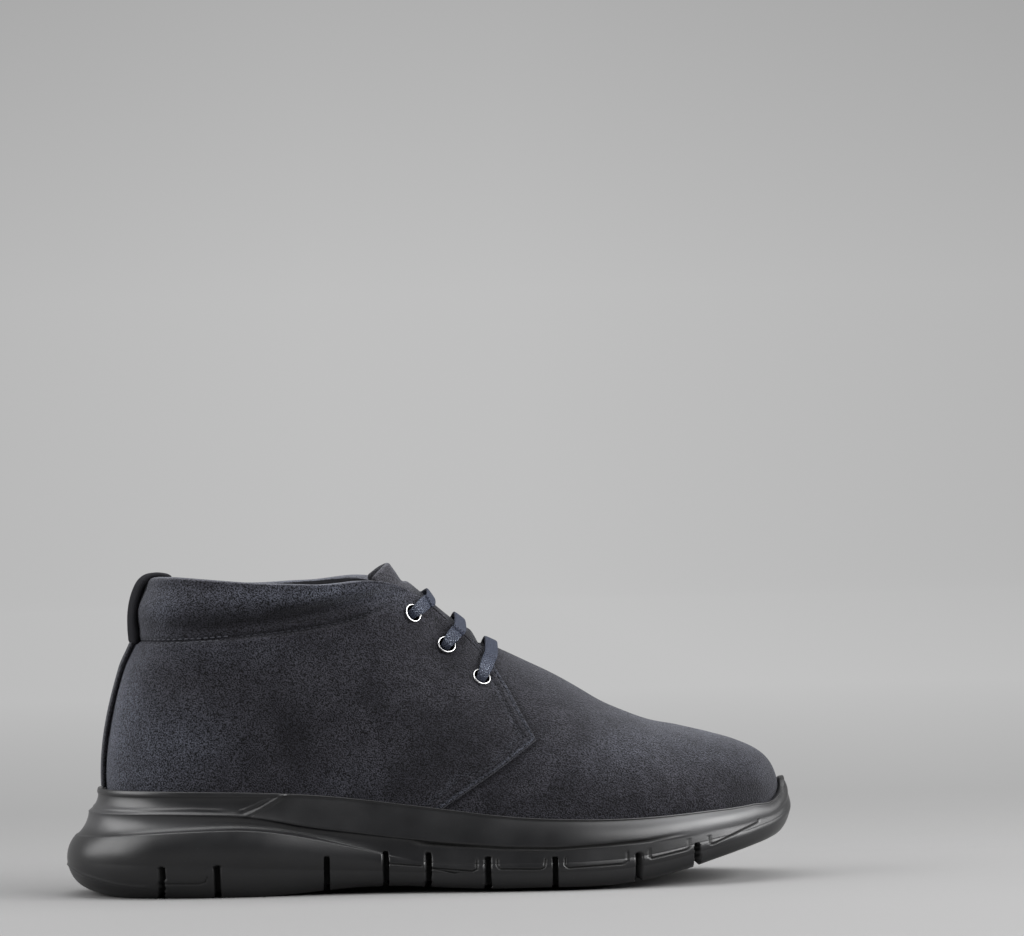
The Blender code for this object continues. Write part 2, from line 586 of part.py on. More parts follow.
def sole_outline():
    """The upper's edge at the rim as a closed loop: points, outward directions, foot x."""
    halves, feet = [], []
    for side in (LATERAL, MEDIAL):
        t = rim_heights(side)
        s = upper_columns(side, t)
        halves.append(upper_point(side, s, t))
        feet.append(upper_point(side, s, 0.0)[:, 0])
    lateral, medial = halves
    loop = np.vstack([lateral, medial[-2:0:-1]])
    foot_x = np.concatenate([feet[0], feet[1][-2:0:-1]])
    along = (np.roll(loop, -1, axis=0) - np.roll(loop, 1, axis=0)) * (1, 1, 0)
    normal = unit(np.stack([along[:, 1], -along[:, 0], 0 * along[:, 0]], axis=-1)) * -1
    half = len(loop) // 2
    normal[0], normal[half] = (-1, 0, 0), (1, 0, 0)
    if normal[half // 2, 1] > 0:
        normal[1:half] *= -1
        normal[half + 1:] *= -1
    return loop, normal, foot_x


def arc_row(a, b, sag, share):
    """Between two profile points (out, z), on an arc that swells outwards by sag."""
    out = a[0] + (b[0] - a[0]) * share
    z = a[1] + (b[1] - a[1]) * share
    run = np.hypot(b[0] - a[0], b[1] - a[1])
    swell = 4 * share * (1 - share) * sag
    return out + swell * (b[1] - a[1]) / run, z - swell * (b[0] - a[0]) / run


def make_sole():
    """The moulded sole: tread, bulging wall, ledge, hollow, upper band, lip, rim and cup."""
    mesh = Mesh()
    loop, normal, foot_x = sole_outline()
    table = dict(zip(SOLE_COLUMNS[1:], smooth_rows(SOLE_SECTIONS, foot_x).T))
    tread_out = table["tread_out"]
    tread_x = (loop + normal * tread_out[:, None])[:, 0]
    tread_z = floor_height(tread_x) + edge_lift(tread_x)
    tread = (tread_out, tread_z)
    wall = (table["wall_out"], table["wall_z"])
    pod = (table["pod_out"], table["pod_z"])
    ledge = (table["pod_out"] - table["ledge"], table["pod_z"] + LEDGE_HEIGHT)
    band_low = (table["band_in"], table["band_z"] - LEDGE_HEIGHT)
    band = (table["band_out"], table["band_z"] + LEDGE_HEIGHT)
    lip_low = (table["rim_out"], table["rim_z"] - table["lip"])
    lip_high = (table["rim_out"] + LIP_PROUD, table["rim_z"] - table["lip"] + LEDGE_HEIGHT)
    rim = (table["rim_out"], table["rim_z"])
    profile = [tread, arc_row(tread, wall, WALL_SWELL * (wall[0] - tread[0]), 0.5), wall,
               arc_row(wall, pod, POD_SWELL * (pod[1] - wall[1]), 0.5), pod, ledge,
               arc_row(ledge, band_low, table["hollow"], 0.5), band_low, band,
               arc_row(band, lip_low, table["band_sag"], 0.33),
               arc_row(band, lip_low, table["band_sag"], 0.67), lip_low, lip_high, rim]
    rings = []
    for out, z in profile:
        points = loop + normal * out[:, None]
        points[:, 2] = z
        rings.append(mesh.row(points))

    def cup_ring(share, drop):
        halves = []
        for side in (LATERAL, MEDIAL):
            t = rim_heights(side) * share
            s = upper_columns(side, t)
            wall = outer_wall(side, s, t, CUP_ON_QUARTER)
            points = wall + upper_normal(side, s, t) * (1, 1, 0) * CLEARANCE
            points[:, 2] = wall[:, 2] - drop
            halves.append(points)
        return ring_from_halves(mesh, halves)

    rings += [cup_ring(1, 0), cup_ring(0.5, 0), cup_ring(0, CLEARANCE)]
    for first, second in zip(rings, rings[1:]):
        mesh.band(first, second, closed=True)
    centre = SHOE_LENGTH / 2 - HEEL_OVERHANG
    fill_across(mesh, rings[0], lambda p, edge: floor_height(p.x / MM + centre) * MM,
                inner_points=2)
    fill_across(mesh, rings[-1], lambda p, edge: p.z, inner_points=1)
    sole = mesh.finish("sole")

    # each slot is cut up both sides and joined by a shallower groove across the tread
    slots = bmesh.new()
    wall_points = (loop + normal * wall[0][:, None])
    half = len(loop) // 2
    for x, top in SLOTS:
        outer_y = np.interp(x, wall_points[:half + 1, 0], wall_points[:half + 1, 1])
        inner_y = np.interp(x, wall_points[:half - 1:-1, 0], wall_points[:half - 1:-1, 1])
        low, high = outer_y + SLOT_DEPTH, inner_y - SLOT_DEPTH
        groove = float(floor_height(np.float64(x))) + GROOVE_DEPTH
        left, right, under = low - SLOT_CUTTER_REACH, high + SLOT_CUTTER_REACH, -SLOT_CUTTER_REACH
        corners = [(left, under), (right, under), (right, top), (high, top),
                   (high, groove), (low, groove), (low, top), (left, top)]
        faces = []
        for end in (x - SLOT_WIDTH / 2, x + SLOT_WIDTH / 2):
            ring = [slots.verts.new(placed((end, y, z))) for y, z in corners]
            faces.append(ring)
        slots.faces.new(faces[0])
        slots.faces.new(faces[1][::-1])
        for k in range(len(corners)):
            m = (k + 1) % len(corners)
            slots.faces.new((faces[0][k], faces[0][m], faces[1][m], faces[1][k]))
    cut(sole, cutter("sole_slots", slots))
    return sole


def make_insole():
    """A flat footbed inside the wall, dished a little along its middle."""
    mesh = Mesh()
    every = slice(None, None, 2)
    halves = {0: [], 1: []}
    for side in (LATERAL, MEDIAL):
        s = upper_columns(side, 0)
        s = np.append(s[:-1][every], 1.0)
        base = inner_wall(side, s, np.zeros(len(s)))
        base = base - foot_normal(side, s) * INSOLE_INSET
        for level in halves:
            points = base.copy()
            points[:, 2] += level * INSOLE_THICKNESS
            halves[level].append(points)
    rings = []
    for level in (0, 1):
        lateral, medial = halves[level]
        lateral[[0, -1]] = (lateral[[0, -1]] + medial[[0, -1]]) / 2
        rings.append(mesh.row(lateral) + mesh.row(medial[-2:0:-1]))
    mesh.band(rings[0], rings[1], closed=True)
    fill_across(mesh, rings[0], lambda p, edge: p.z, inner_points=1)
    fill_across(mesh, rings[1], lambda p, edge: p.z - INSOLE_DISH * MM * (1 - edge),
                inner_points=1)
    return mesh.finish("insole")


def make_tongue():
    """A padded tongue: under the facings it follows their inside, and its tip stands free."""
    rows = []
    for s, lift in zip(np.linspace(TONGUE_FOOT, TONGUE_FREE, len(TONGUE_LIFT)), TONGUE_LIFT):
        covered = np.linspace(TONGUE_COVERED, 1, TONGUE_SIDE_POINTS)
        halves = []
        for side in (LATERAL, MEDIAL):
            inside = inner_wall(side, s, covered)
            halves.append(inside - upper_normal(side, s, covered) * LOOSE_FIT)
        lateral, medial = halves
        gap = np.linalg.norm(medial[-1] - lateral[-1])
        start = lateral[-1] + unit(lateral[-1] - lateral[-2]) * gap * TONGUE_CROWN
        end = medial[-1] + unit(medial[-1] - medial[-2]) * gap * TONGUE_CROWN
        arch = [((1 - f)**3 * lateral[-1] + 3 * f * (1 - f)**2 * start
                 + 3 * f**2 * (1 - f) * end + f**3 * medial[-1]
                 + np.array([0, 0, lift * 4 * f * (1 - f)])) for f in (0.25, 0.5, 0.75)]
        rows.append(np.vstack([lateral, arch, medial[::-1]]))
    across = np.linspace(-1, 1, len(rows[0]))
    tip = np.stack([TONGUE_TIP[0] - TONGUE_SWEEP * across**2,
                    TONGUE_TIP[1] + TONGUE_TIP_HALF * across,
                    TONGUE_TIP[2] - TONGUE_SHOULDER * np.abs(across)**2.4], axis=-1)
    last = rows[-1]
    for f in TONGUE_TIP_ROWS:
        dip = TONGUE_DIP * 6.75 * f * (1 - f)**2         # at its deepest a third of the way up
        rows.append(last * (1 - f) + tip * f - np.array([0, 0, dip]))
    return sheet("tongue", rows, TONGUE_THICKNESS)


def strip_point(y, t, lift):
    """On the back of the heel, at y across and t up, lifted off the surface."""
    side = MEDIAL if y > 0 else LATERAL
    low, high = 0.0, 0.15
    for _ in range(STEPS_TO_SOLVE):
        middle = (low + high) / 2
        if abs(upper_point(side, middle, t)[1]) < abs(y):
            low = middle
        else:
            high = middle
    s = np.float64(low)
    return outer_wall(side, s, np.float64(t), True) + upper_normal(side, s, t) * lift


def make_back_strip():
    """The narrow strip that covers the back seam from the sole's rim to the pull tab."""
    across = np.linspace(0.5, -0.5, STRIP_COLUMNS) * STRIP_WIDTH
    rows = [[strip_point(y, t, LOOSE_FIT + STRAP_THICKNESS) for y in across]
            for t in np.linspace(STRIP_START, STRIP_END, STRIP_ROWS)]
    return sheet("back_strip", rows, STRAP_THICKNESS)


def make_pull_tab():
    """A folded strap that stands off the collar, goes over its edge and down inside."""
    path = np.asarray(PULL_TAB, float)
    rows = np.vstack([2 * path[0] - path[1], path, 2 * path[-1] - path[-2]])
    line = spline(rows, np.linspace(0, 1, TAB_ROWS))
    across = np.linspace(0.5, -0.5, TAB_COLUMNS) * TAB_WIDTH
    points = [[(x + TAB_BEND * y * y, y, z) for y in across] for x, z in line]
    tab = sheet("pull_tab", points, TAB_THICKNESS)
    fullness = np.interp(np.linspace(0, 1, TAB_ROWS), np.linspace(0, 1, len(path)), TAB_FULLNESS)
    group = tab.vertex_groups.new(name="fullness")
    for row, share in enumerate(fullness):
        group.add(range(row * TAB_COLUMNS, (row + 1) * TAB_COLUMNS), share, "REPLACE")
    tab.modifiers[0].vertex_group = group.name
    return tab


def make_eyelets():
    """Six turned rings: flange on the facing, barrel through its wall."""
    rise = EYELET_SEAT + EYELET_RISE
    profile = ((EYELET_HOLE, rise - 0.25), (EYELET_HOLE + 0.6, rise),
               (EYELET_FLANGE, rise - 0.4), (EYELET_FLANGE, EYELET_SEAT),
               (EYELET_BARREL, EYELET_SEAT), (EYELET_BARREL, -EYELET_DEPTH),
               (EYELET_HOLE, -EYELET_DEPTH))
    outline = bpy.data.meshes.new("eyelet")
    count = len(profile)
    outline.from_pydata([(r * MM, 0, z * MM) for r, z in profile],
                        [(i, (i + 1) % count) for i in range(count)], [])
    rings = []
    for side, word in ((LATERAL, "lateral"), (MEDIAL, "medial")):
        for number, (place, normal) in enumerate(eyelet_places(side), 1):
            ring = bpy.data.objects.new(f"eyelet_{word}_{number}", outline)
            SHOE.objects.link(ring)
            turned = ring.modifiers.new("turned", "SCREW")
            turned.steps = turned.render_steps = EYELET_STEPS
            turned.use_merge_vertices = True
            turned.merge_threshold = 0.00001
            ring.rotation_mode = "QUATERNION"
            ring.rotation_quaternion = Vector(normal).to_track_quat("Z", "Y")
            ring.location = placed(place)
            rings.append(ring)
    return rings


def make_lace_bars():
    """Three flat lace bars that rise out of one eyelet, cross the throat and enter the other."""
    bars = []
    for number, (eyelet_x, eyelet_z, edge_x, edge_z, crest_x, crest_z) in enumerate(LACES, 1):
        way = np.array(LACE_WAY)
        places = [section_at(eyelet_x + f * (edge_x - eyelet_x), eyelet_z + f * (edge_z - eyelet_z))
                  for f in way]
        s, t = np.array(places).T
        halves = []
        for side in (LATERAL, MEDIAL):
            normal = upper_normal(side, s, t)
            height = np.array(LACE_HEIGHTS) + QUARTER_STEP
            halves.append((upper_point(side, s, t) + normal * height[:, None], normal))
        (left, left_normal), (right, right_normal) = halves
        crest = (left[-1] + right[-1]) / 2
        crest = np.array([crest_x, crest[1], crest_z])
        crest_normal = unit(left_normal[-1] + right_normal[-1])
        path = np.vstack([left, crest, right[::-1]])
        normals = np.vstack([left_normal, crest_normal, right_normal[::-1]])
        widths = np.full(len(path), LACE_WIDTH / 2)
        widths[[0, -1]] = LACE_END_WIDTH / 2
        columns = np.hstack([path, normals, widths[:, None]])
        columns = np.vstack([2 * columns[0] - columns[1], columns, 2 * columns[-1] - columns[-2]])
        line = spline(columns, np.linspace(0, 1, LACE_ROWS))
        path, normals, widths = line[:, :3], unit(line[:, 3:6]), line[:, 6]
        across = unit(np.cross(np.gradient(path, axis=0), normals))
        rows = [[p + a * w * k for k in (-1, 0, 1)] for p, a, w in zip(path, across, widths)]
        bars.append(sheet(f"lace_bar_{number}", rows, LACE_THICKNESS))
    return bars


for old in list(bpy.data.objects):
    bpy.data.objects.remove(old)
SHOE = bpy.data.collections.new("chukka_sneaker")
CUTTERS = bpy.data.collections.new("cutters")
for collection in (SHOE, CUTTERS):
    bpy.context.scene.collection.children.link(collection)

SUEDE = material("slate_suede", (0.035, 0.042, 0.055), 0.95)
PIECES = (
    ([make_upper()], SUEDE),
    ([make_tongue()], material("tongue_suede", (0.033, 0.039, 0.050), 0.95)),
    ([make_sole()], material("black_foam_rubber", (0.018, 0.018, 0.019), 0.45)),
    ([make_insole()], material("insole_textile", (0.03, 0.03, 0.034), 0.9)),
    ([make_back_strip()], material("back_strip_suede", (0.028, 0.03, 0.036), 0.9)),
    ([make_pull_tab()], material("woven_tape", (0.02, 0.021, 0.024), 0.85)),
    (make_eyelets(), material("nickel", (0.72, 0.72, 0.72), 0.25, 1.0)),
    (make_lace_bars(), material("waxed_lace", (0.03, 0.038, 0.062), 0.55)),
)
for objects, look in PIECES:
    for piece in objects:
        piece.data.materials.clear()
        piece.data.materials.append(look)
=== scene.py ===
"""Looks of a low chukka sneaker: suede upper, moulded sole, laces, floor, light and camera.

Metres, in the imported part's frame. The tables are in millimetres, with X counted from the back
of the heel, and placed() turns them into metres.
"""

import math

import bmesh
import bpy
import numpy as np
from mathutils import Matrix, Vector


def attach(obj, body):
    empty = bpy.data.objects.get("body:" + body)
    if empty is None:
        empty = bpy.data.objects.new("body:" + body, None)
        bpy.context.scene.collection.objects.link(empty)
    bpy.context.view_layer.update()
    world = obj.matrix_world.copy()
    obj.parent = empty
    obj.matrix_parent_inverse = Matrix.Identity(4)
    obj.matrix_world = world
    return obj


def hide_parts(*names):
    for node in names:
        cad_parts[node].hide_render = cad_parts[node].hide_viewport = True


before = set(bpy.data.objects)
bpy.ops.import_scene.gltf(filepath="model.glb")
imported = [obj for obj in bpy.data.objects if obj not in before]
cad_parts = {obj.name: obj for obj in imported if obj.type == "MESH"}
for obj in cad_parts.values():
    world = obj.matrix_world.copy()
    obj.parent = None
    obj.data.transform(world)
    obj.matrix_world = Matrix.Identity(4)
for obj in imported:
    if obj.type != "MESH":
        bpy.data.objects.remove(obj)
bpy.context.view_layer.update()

MM = 0.001
STEPS_TO_SOLVE = 30
SECTION_STEP = 0.004         # of s, over which the sections' run is taken
NORMAL_STEP = 0.003          # of s and t, over which the surface's direction is taken
BELOW_RIDGE = 0.96           # the t up to which it is taken
MERGE_WITHIN = 0.002         # points this close, in millimetres, become one

# ---------------------------------------------------------------- sizes shared with the part
SHOE_LENGTH = 303.8
HEEL_OVERHANG = 0.7
BALL_SHIFT = 0.45
TABLE_ORIGIN = np.array([SHOE_LENGTH / 2 - HEEL_OVERHANG, -BALL_SHIFT, 0])
VAMP_WALL = 1.9
QUARTER_STEP = 1.2
COLLAR_PAD = 4.4
CLEARANCE = 0.35
LOOSE_FIT = 0.6
INSOLE_INSET = 0.9
INSOLE_THICKNESS = 4.5
TONGUE_THICKNESS = 3.2
TONGUE_COVERED = 0.80
STRAP_THICKNESS = 1.3
STRIP_WIDTH = 11.0
TAB_WIDTH = 15.0
TAB_THICKNESS = 2.4
EYELET_HOLE = 2.45
EYELET_FLANGE = 4.0
EYELET_BARREL = 2.85
EYELET_RISE = 0.6
EYELET_SEAT = 0.7
EYELET_DEPTH = 2.4
LACE_WIDTH = 5.8
LACE_THICKNESS = 1.3
SLOT_WIDTH = 2.4
GROOVE_DEPTH = 2.2
TOE_SPRING_START = 197.6
TOE_SPRING_RADIUS = 237.0
ARCH_START, ARCH_END, ARCH_RISE = 72.0, 187.0, 3.1
HEEL_BEVEL_START, HEEL_BEVEL_RADIUS = 26.0, 90.0
EDGE_LIFT, EDGE_LIFT_AT, EDGE_LIFT_HALF = 1.6, 193.0, 50.0      # the tread's edges beside the ball
WALL_SWELL, POD_SWELL = 0.28, 0.11
LEDGE_HEIGHT = 0.35
LIP_PROUD = 0.35
INSOLE_DISH = 0.8
HEEL_PINCH, HEEL_PINCH_HEIGHT = 1.4, 13.0
TAB_BEND = 0.03
STRIP_START, STRIP_END = 0.135, 0.727

UPPER_COLUMNS = ("foot_x", "foot_lateral", "foot_medial", "foot_z",
                 "top_x", "top_lateral", "top_medial", "top_z", "drop",
                 "rise", "flare", "reach", "pitch")
UPPER_SECTIONS = (
    (18.8, 0, 0, 30, 35.4, 0, 0, 128.8, 0, 40, 11, 30, 80),
    (22.2, 15, 14.6, 30, 38.8, 14.5, 14.5, 129.8, 0.8, 40, 10, 30, 81),
    (33.4, 28, 27.2, 29.6, 47.6, 25.7, 25.7, 130.3, 1.9, 39, 8, 30, 83),
    (53, 35.7, 34.6, 28.8, 63, 32.2, 32.2, 129.5, 2.4, 37, 7, 30, 86),
    (76, 37.6, 35, 27.5, 83.5, 34.4, 34.2, 128, 1.6, 36, 6, 30, 87),
    (99, 37.2, 32.6, 26, 106, 32.5, 32.2, 127.1, -0.2, 36, 5, 30, 86),
    (119, 38, 31.9, 24.4, 127, 26.6, 27, 127.6, -0.7, 36, 5, 30, 80),
    (135, 40, 33.5, 22.8, 141.5, 16.5, 18.5, 124.2, 0, 36, 5, 29, 64),
    (149, 42.4, 36.5, 21.4, 155, 9.5, 13.5, 114.4, 0, 35, 5, 27, 50),
    (164, 45.2, 40.4, 20.3, 169, 11.8, 16.5, 101.6, 0, 34, 5, 26, 46),
    (181, 48.3, 44.6, 19.6, 179.5, -3, 3, 98.9, 0, 32, 6, 26, 8),
    (205, 49.9, 48, 19.4, 201, -4, 4, 88.5, 0, 29, 7, 28, 0),
    (229, 47.2, 48.1, 20.2, 222.5, -4.7, 4.7, 76.4, 0, 25, 8, 30, 0),
    (251, 41.4, 45.4, 21.6, 242, -5.4, 5.4, 67.2, 0, 22, 8, 30, 0),
    (271, 32, 39, 23, 255.5, -6, 6, 64.2, 0, 22, 8, 28, 0),
    (287.2, 18.5, 29.3, 24, 264, -6.4, 6.4, 62.2, 0, 24, 8, 26, 0),
    (296.3, 4.4, 18.4, 24.4, 269, -6.6, 6.6, 60.8, 0, 26, 6, 22, 0),
    (298.8, -6.7, 6.7, 24.5, 271.5, -6.7, 6.7, 60, 0, 27, 4, 20, 0),
)
SPANS = len(UPPER_SECTIONS) - 1
THROAT_END, EDGE_TOP = 10 / SPANS, 9 / SPANS
RELIEF_ENDS = 6.3 / SPANS, 7.4 / SPANS       # where the collar's relief fades out ahead
PAD_ENDS = 6 / SPANS, 7.2 / SPANS            # and where its padding does
PAD_HEIGHTS = -2.0, 9.0                      # where the padding starts and is full, over the seam
COLLAR_SWELL, COLLAR_SWELL_HALF, COLLAR_SWELL_UP = 1.6, 11.0, 9.0
TROUGH_DEPTH, TROUGH_HALF, TROUGH_ENDS = 1.5, 5.5, (25.0, 75.0)
SEAM_DEPTH, SEAM_HALF = 0.5, 3.0
PINCH_ENDS = 32.0, 60.0
EDGE_BETWEEN, RIM_BETWEEN, STRIP_BETWEEN = (0.3, 0.75), (0, 0.6), (0, 0.15)    # each is sought here
SLOPE_STARTS, LEAN_STARTS, LEAN_STOPS = (0.3, 0.45), (0.12, 0.3), (0.62, 0.85)       # of s
QUARTER_EDGE = ((169, 102.2), (173.1, 98), (178.1, 91.2), (183.8, 81.3), (187.4, 73.2),
                (193.4, 61.2), (179.4, 51.4), (153, 33.9), (135.4, 21))
COLLAR_SEAM = ((14, 105.8, 109), (56, 106, 110.2), (80, 107.7, 112.4),
               (101, 109.8, 116.2), (118, 112.7, 119.2), (135, 118, 122.6))
# Each row: X, then the fourteen measures that sole_profile() takes from it.
SOLE_SECTIONS = (
    (18.8, 6.4, 15, 17.9, 24.9, 14, 0.9, -0.9, 34.3, 8.5, 8.6, -1, 2.5, 4.4, 44.2),
    (30, 4.6, 14.5, 13.8, 26.3, 11.3, 1.5, -1.1, 34.5, 6.9, 7.3, -1, 2.5, 3.8, 44.2),
    (50, 3, 13.5, 9.7, 27.7, 8.7, 1.5, -1.2, 34.2, 5.2, 5.7, -1, 2.4, 3.1, 43.8),
    (75, 2.8, 12, 8.3, 27.5, 7.7, 1.2, -1.2, 32.6, 4.8, 5.3, -0.7, 2.2, 2.9, 43),
    (95, 2.4, 11, 7.6, 24.3, 7.2, 1.1, -1, 28.6, 4.9, 5.9, 0.1, 1.2, 2.8, 41.8),
    (120, 1.8, 10, 6.6, 18.6, 6.6, 0.8, -0.5, 24.9, 5, 5.9, 0.2, 0.9, 2.6, 39.1),
    (140, 1.6, 9, 6.2, 14, 6.3, 0.1, -0.1, 22.4, 5.2, 6.1, 0.3, 0.8, 2.5, 36.4),
    (190, 2.6, 8, 6.2, 12, 6.2, 0, 0, 17, 5.5, 6.4, 0.8, 0.8, 2.3, 30.2),
    (235, 2.2, 9.5, 6.2, 13.5, 6.3, 0, 0, 19.1, 5.9, 6.4, 1, 0.8, 2.3, 28.9),
    (262, 0.5, 15, 6.1, 18.5, 6.2, 0, 0, 21.8, 5.7, 5.6, 1, 0.8, 2.4, 30.3),
    (282, -4, 20, 5.5, 22.5, 5.5, 0, 0, 25, 5, 4.9, 0.9, 0.8, 2.6, 31.8),
    (293, -8, 24, 5.2, 26.5, 5.2, 0, 0, 28.5, 4.7, 4.6, 0.7, 0.8, 2.6, 33.6),
    (297, -10.5, 26.5, 5.1, 29.5, 5.1, 0, 0, 32, 4.6, 4.5, 0.6, 0.8, 2.6, 37.6),
    (298.8, -9, 28.5, 5, 32, 5.1, 0, 0, 35, 4.5, 4.4, 0.5, 0.8, 2.6, 41.4),
)
SLOTS = ((37.4, 13.7), (60.3, 13.9), (105.4, 16.3), (129.7, 17.6), (147, 16.8),
         (171.2, 14.8), (198.8, 14.4), (233.5, 14.8), (258.6, 17.8))
LACES = ((143.6, 113.8, 150.2, 119, 153.3, 121.4),
         (157.8, 99.9, 163.2, 105.6, 165.2, 111.8),
         (171.7, 86.2, 176, 94.2, 178.2, 101.8))
PULL_TAB = ((26.7, 105.4), (26.4, 110), (26.5, 116), (27.3, 121.4), (28.9, 126.4),
            (31.2, 130.4), (34.6, 132.7), (39, 133), (43.4, 131.6), (44.9, 127),
            (43.6, 121.5))
TAB_FULLNESS = (0.55, 0.9, 1.0, 1.0, 1.0, 0.95, 0.68, 0.62, 0.6, 0.6, 0.6)
TAB_FOOT, TAB_FOOT_ENDS = 1.7, (107.0, 114.0)    # thicker at the foot, sewn to the suede
TAB_PILE = 0.3
TONGUE_TIP = (136.6, 1.5, 134.4)
TONGUE_TIP_HALF = 17.0
TONGUE_SWEEP = 6.5
TONGUE_SHOULDER = 5.0
TONGUE_CROWN = 0.40
TONGUE_LIFT = (0.5, 2.4, 1.0, -0.1, 0.0, -0.1, -0.9, -2.4)     # of each covered row, from the front
TONGUE_DIP = 2.0
TONGUE_FOOT, TONGUE_FREE = 9.6 / SPANS, 7.2 / SPANS
LATERAL, MEDIAL = SIDES = -1, 1

# ---------------------------------------------------------------- looks
# Engraved lines of the sole's side, seen from the side: X and Z of each corner.
ENGRAVED = (
    ((131.4, 12.6), (144, 11.4)),
    ((148.6, 10.5), (164.9, 9), (166.4, 9.7), (166.7, 13.7)),
    ((148.6, 10.3), (158.4, 8.2)),
    ((175, 13.7), (175, 11.2), (176.2, 9.7), (192.6, 9.3), (194.3, 10.2), (194.7, 13.4)),
    ((202.9, 13.5), (202.8, 10.8), (203.9, 9.6), (227.1, 10.5), (228.9, 11.8), (228.9, 15.2)),
    ((238, 15.8), (238, 13.4), (239, 12.3), (253.9, 15.1), (255.1, 16.1), (255, 19.3)),
    ((264.1, 20.1), (264.4, 17.4), (265.1, 16.7), (285.8, 24.2), (286.3, 25.4)),
    ((38.9, 6.6), (52.9, 6.4), (55.3, 7.1), (56, 9.1)),
)
ENGRAVED_DEPTH, ENGRAVED_HALF = 0.6, 0.6
SLOT_SHOWN_DEPTH = 4.5
CORNER_PULL = 0.6            # how much closer the rows of the sole's side lie at its corners
# The undercut below the upper band, along the middle of the shoe.
BAND_LINE = ((138, 21.6), (143.6, 20.8), (163.5, 19.4), (178.4, 18.2), (199.4, 17.6),
             (220.4, 18.5), (238.4, 19.7), (249.5, 21.2), (257, 22.2))
# Raised lines: the parting line round the heel, and the moulded ridges of the upper band.
PARTING_LINE = ((-2, 13.5), (0.9, 11.9), (5.7, 9.5), (12.4, 7.6), (20.1, 6), (25.9, 5.3),
                (34, 5.1))
UPPER_RIDGE = ((11, 36.7), (28.5, 36.5), (50.8, 36.7), (66, 36))
BRIGHT_RIDGE = ((71, 33.4), (73.5, 34), (79, 36.3), (84, 39.1), (88.4, 41.6))
THIN_RIDGE = ((69, 35.2), (71.5, 35.8), (77, 37.8), (82, 40.4))

# Lighter places of the suede, partly worn nap and partly painted light where the lamps fall on it: X,
# Z, half-widths and strength, seen from the side.
RUBBED_AND_LIT = (
    (20, 76, 13, 34, 1), (47, 66, 21, 13, 0.55), (30, 48, 24, 10, 0.35),
    (40, 121, 9, 12, 0.6), (76, 123, 26, 6, 0.6), (112, 124, 24, 6, 0.9),
    (138, 122, 10, 8, 0.3), (118, 46, 20, 9, 0.2), (212, 84, 22, 9, 0.15),
    (240, 63, 22, 10, 0.4), (271, 56, 22, 9, 0.6),
    (226, 52, 18, 10, 0.35), (286, 46, 10, 8, 0.35), (186, 58, 9, 5, 0.25),
    (62, 101, 34, 7, 0.25),
)
# Darker places of the suede, mostly painted shade in its dent, in the collar's trough and where less
# light falls, partly darker tone: X, Z, half-widths and strength, seen from the side.
SHADE_AND_TONE = (
    (92, 62, 11, 13, 0.9), (120, 78, 24, 18, 0.45), (160, 62, 20, 16, 0.6),
    (76, 80, 16, 12, 0.3), (215, 36, 50, 8, 0.4), (285, 37, 14, 5, 0.7),
    (60, 96, 30, 8, 0.25), (66, 112, 30, 4.5, 0.9), (100, 117, 26, 4.5, 1.1),
    (132, 44, 24, 10, 0.7), (162, 100, 16, 12, 0.8),
)
# Places of the rubber painted a lighter grey, as painted highlight: the broad sheen at the toe band and
# along the heel.
PAINTED_HIGHLIGHT = (
    (262, 27, 24, 6.5, 1), (284, 31, 8, 5, 0.4), (20, 36, 24, 5, 0.45),
    (16, 30, 26, 3, 0.4), (50, 31, 20, 2.5, 0.25),
)


# ---------------------------------------------------------------- curves and tables
def beside(*values):
    """The values as the columns of one array."""
    return np.stack(values, axis=-1)


def spline(rows, s):
    """Catmull-Rom through rows 1 to n of rows, whose first and last only steer the ends."""
    spans = len(rows) - 3
    place = np.clip(np.asarray(s, float), 0, 1) * spans
    index = np.minimum(place.astype(int), spans - 1)
    f = (place - index)[..., None]
    p0, p1, p2, p3 = (rows[index + k] for k in range(4))
    return 0.5 * (2 * p1 + (p2 - p0) * f + (2 * p0 - 5 * p1 + 4 * p2 - p3) * f**2
                  + (3 * p1 - p0 - 3 * p2 + p3) * f**3)


def open_spline(points, count):
    """count rows on a smooth curve through the points, evenly spread over its spans."""
    points = np.asarray(points, float)
    rows = np.vstack([2 * points[0] - points[1], points, 2 * points[-1] - points[-2]])
    return spline(rows, np.linspace(0, 1, count))


def smooth_rows(table, x):
    """The table's other columns at x, by cubic Hermite curves between its rows."""
    rows = np.asarray(table, float)
    keys, values = rows[:, 0], rows[:, 1:]
    slopes = np.gradient(values, keys, axis=0)
    x = np.clip(np.asarray(x, float), keys[0], keys[-1])
    index = np.clip(np.searchsorted(keys, x) - 1, 0, len(keys) - 2)
    width = (keys[index + 1] - keys[index])[..., None]
    f = (x[..., None] - keys[index][..., None]) / width
    return ((1 + 2 * f) * (1 - f)**2 * values[index] + f * (1 - f)**2 * width * slopes[index]
            + f**2 * (3 - 2 * f) * values[index + 1] + f**2 * (f - 1) * width * slopes[index + 1])


def bump(x):
    """1 at x = 0, falling smoothly to 0 at -1 and 1."""
    return np.where(np.abs(x) < 1, np.cos(0.5 * np.pi * np.clip(x, -1, 1))**2, 0)


def rise_between(x, low, high):
    f = np.clip((x - low) / (high - low), 0, 1)
    return f * f * (3 - 2 * f)


def window(x, rise, fall):
    """Rises from 0 to 1 between the two values of rise, and back to 0 between those of fall."""
    return rise_between(x, *rise) * (1 - rise_between(x, *fall))


def turns(count):
    """Evenly spread angles once round."""
    return np.linspace(0, 2 * np.pi, count, endpoint=False)


def bezier(f, a, b, c, d):
    """The place at f on the curve from a to d that b and c pull at."""
    return (1 - f)**3 * a + 3 * f * (1 - f)**2 * b + 3 * f**2 * (1 - f) * c + f**3 * d


def evened(rows):
    """Every row but the first and last, drawn to the middle of its neighbours."""
    return (rows[:-2] + 2 * rows[1:-1] + rows[2:]) / 4


def unit(vectors):
    return vectors / np.maximum(np.linalg.norm(vectors, axis=-1, keepdims=True), 1e-9)


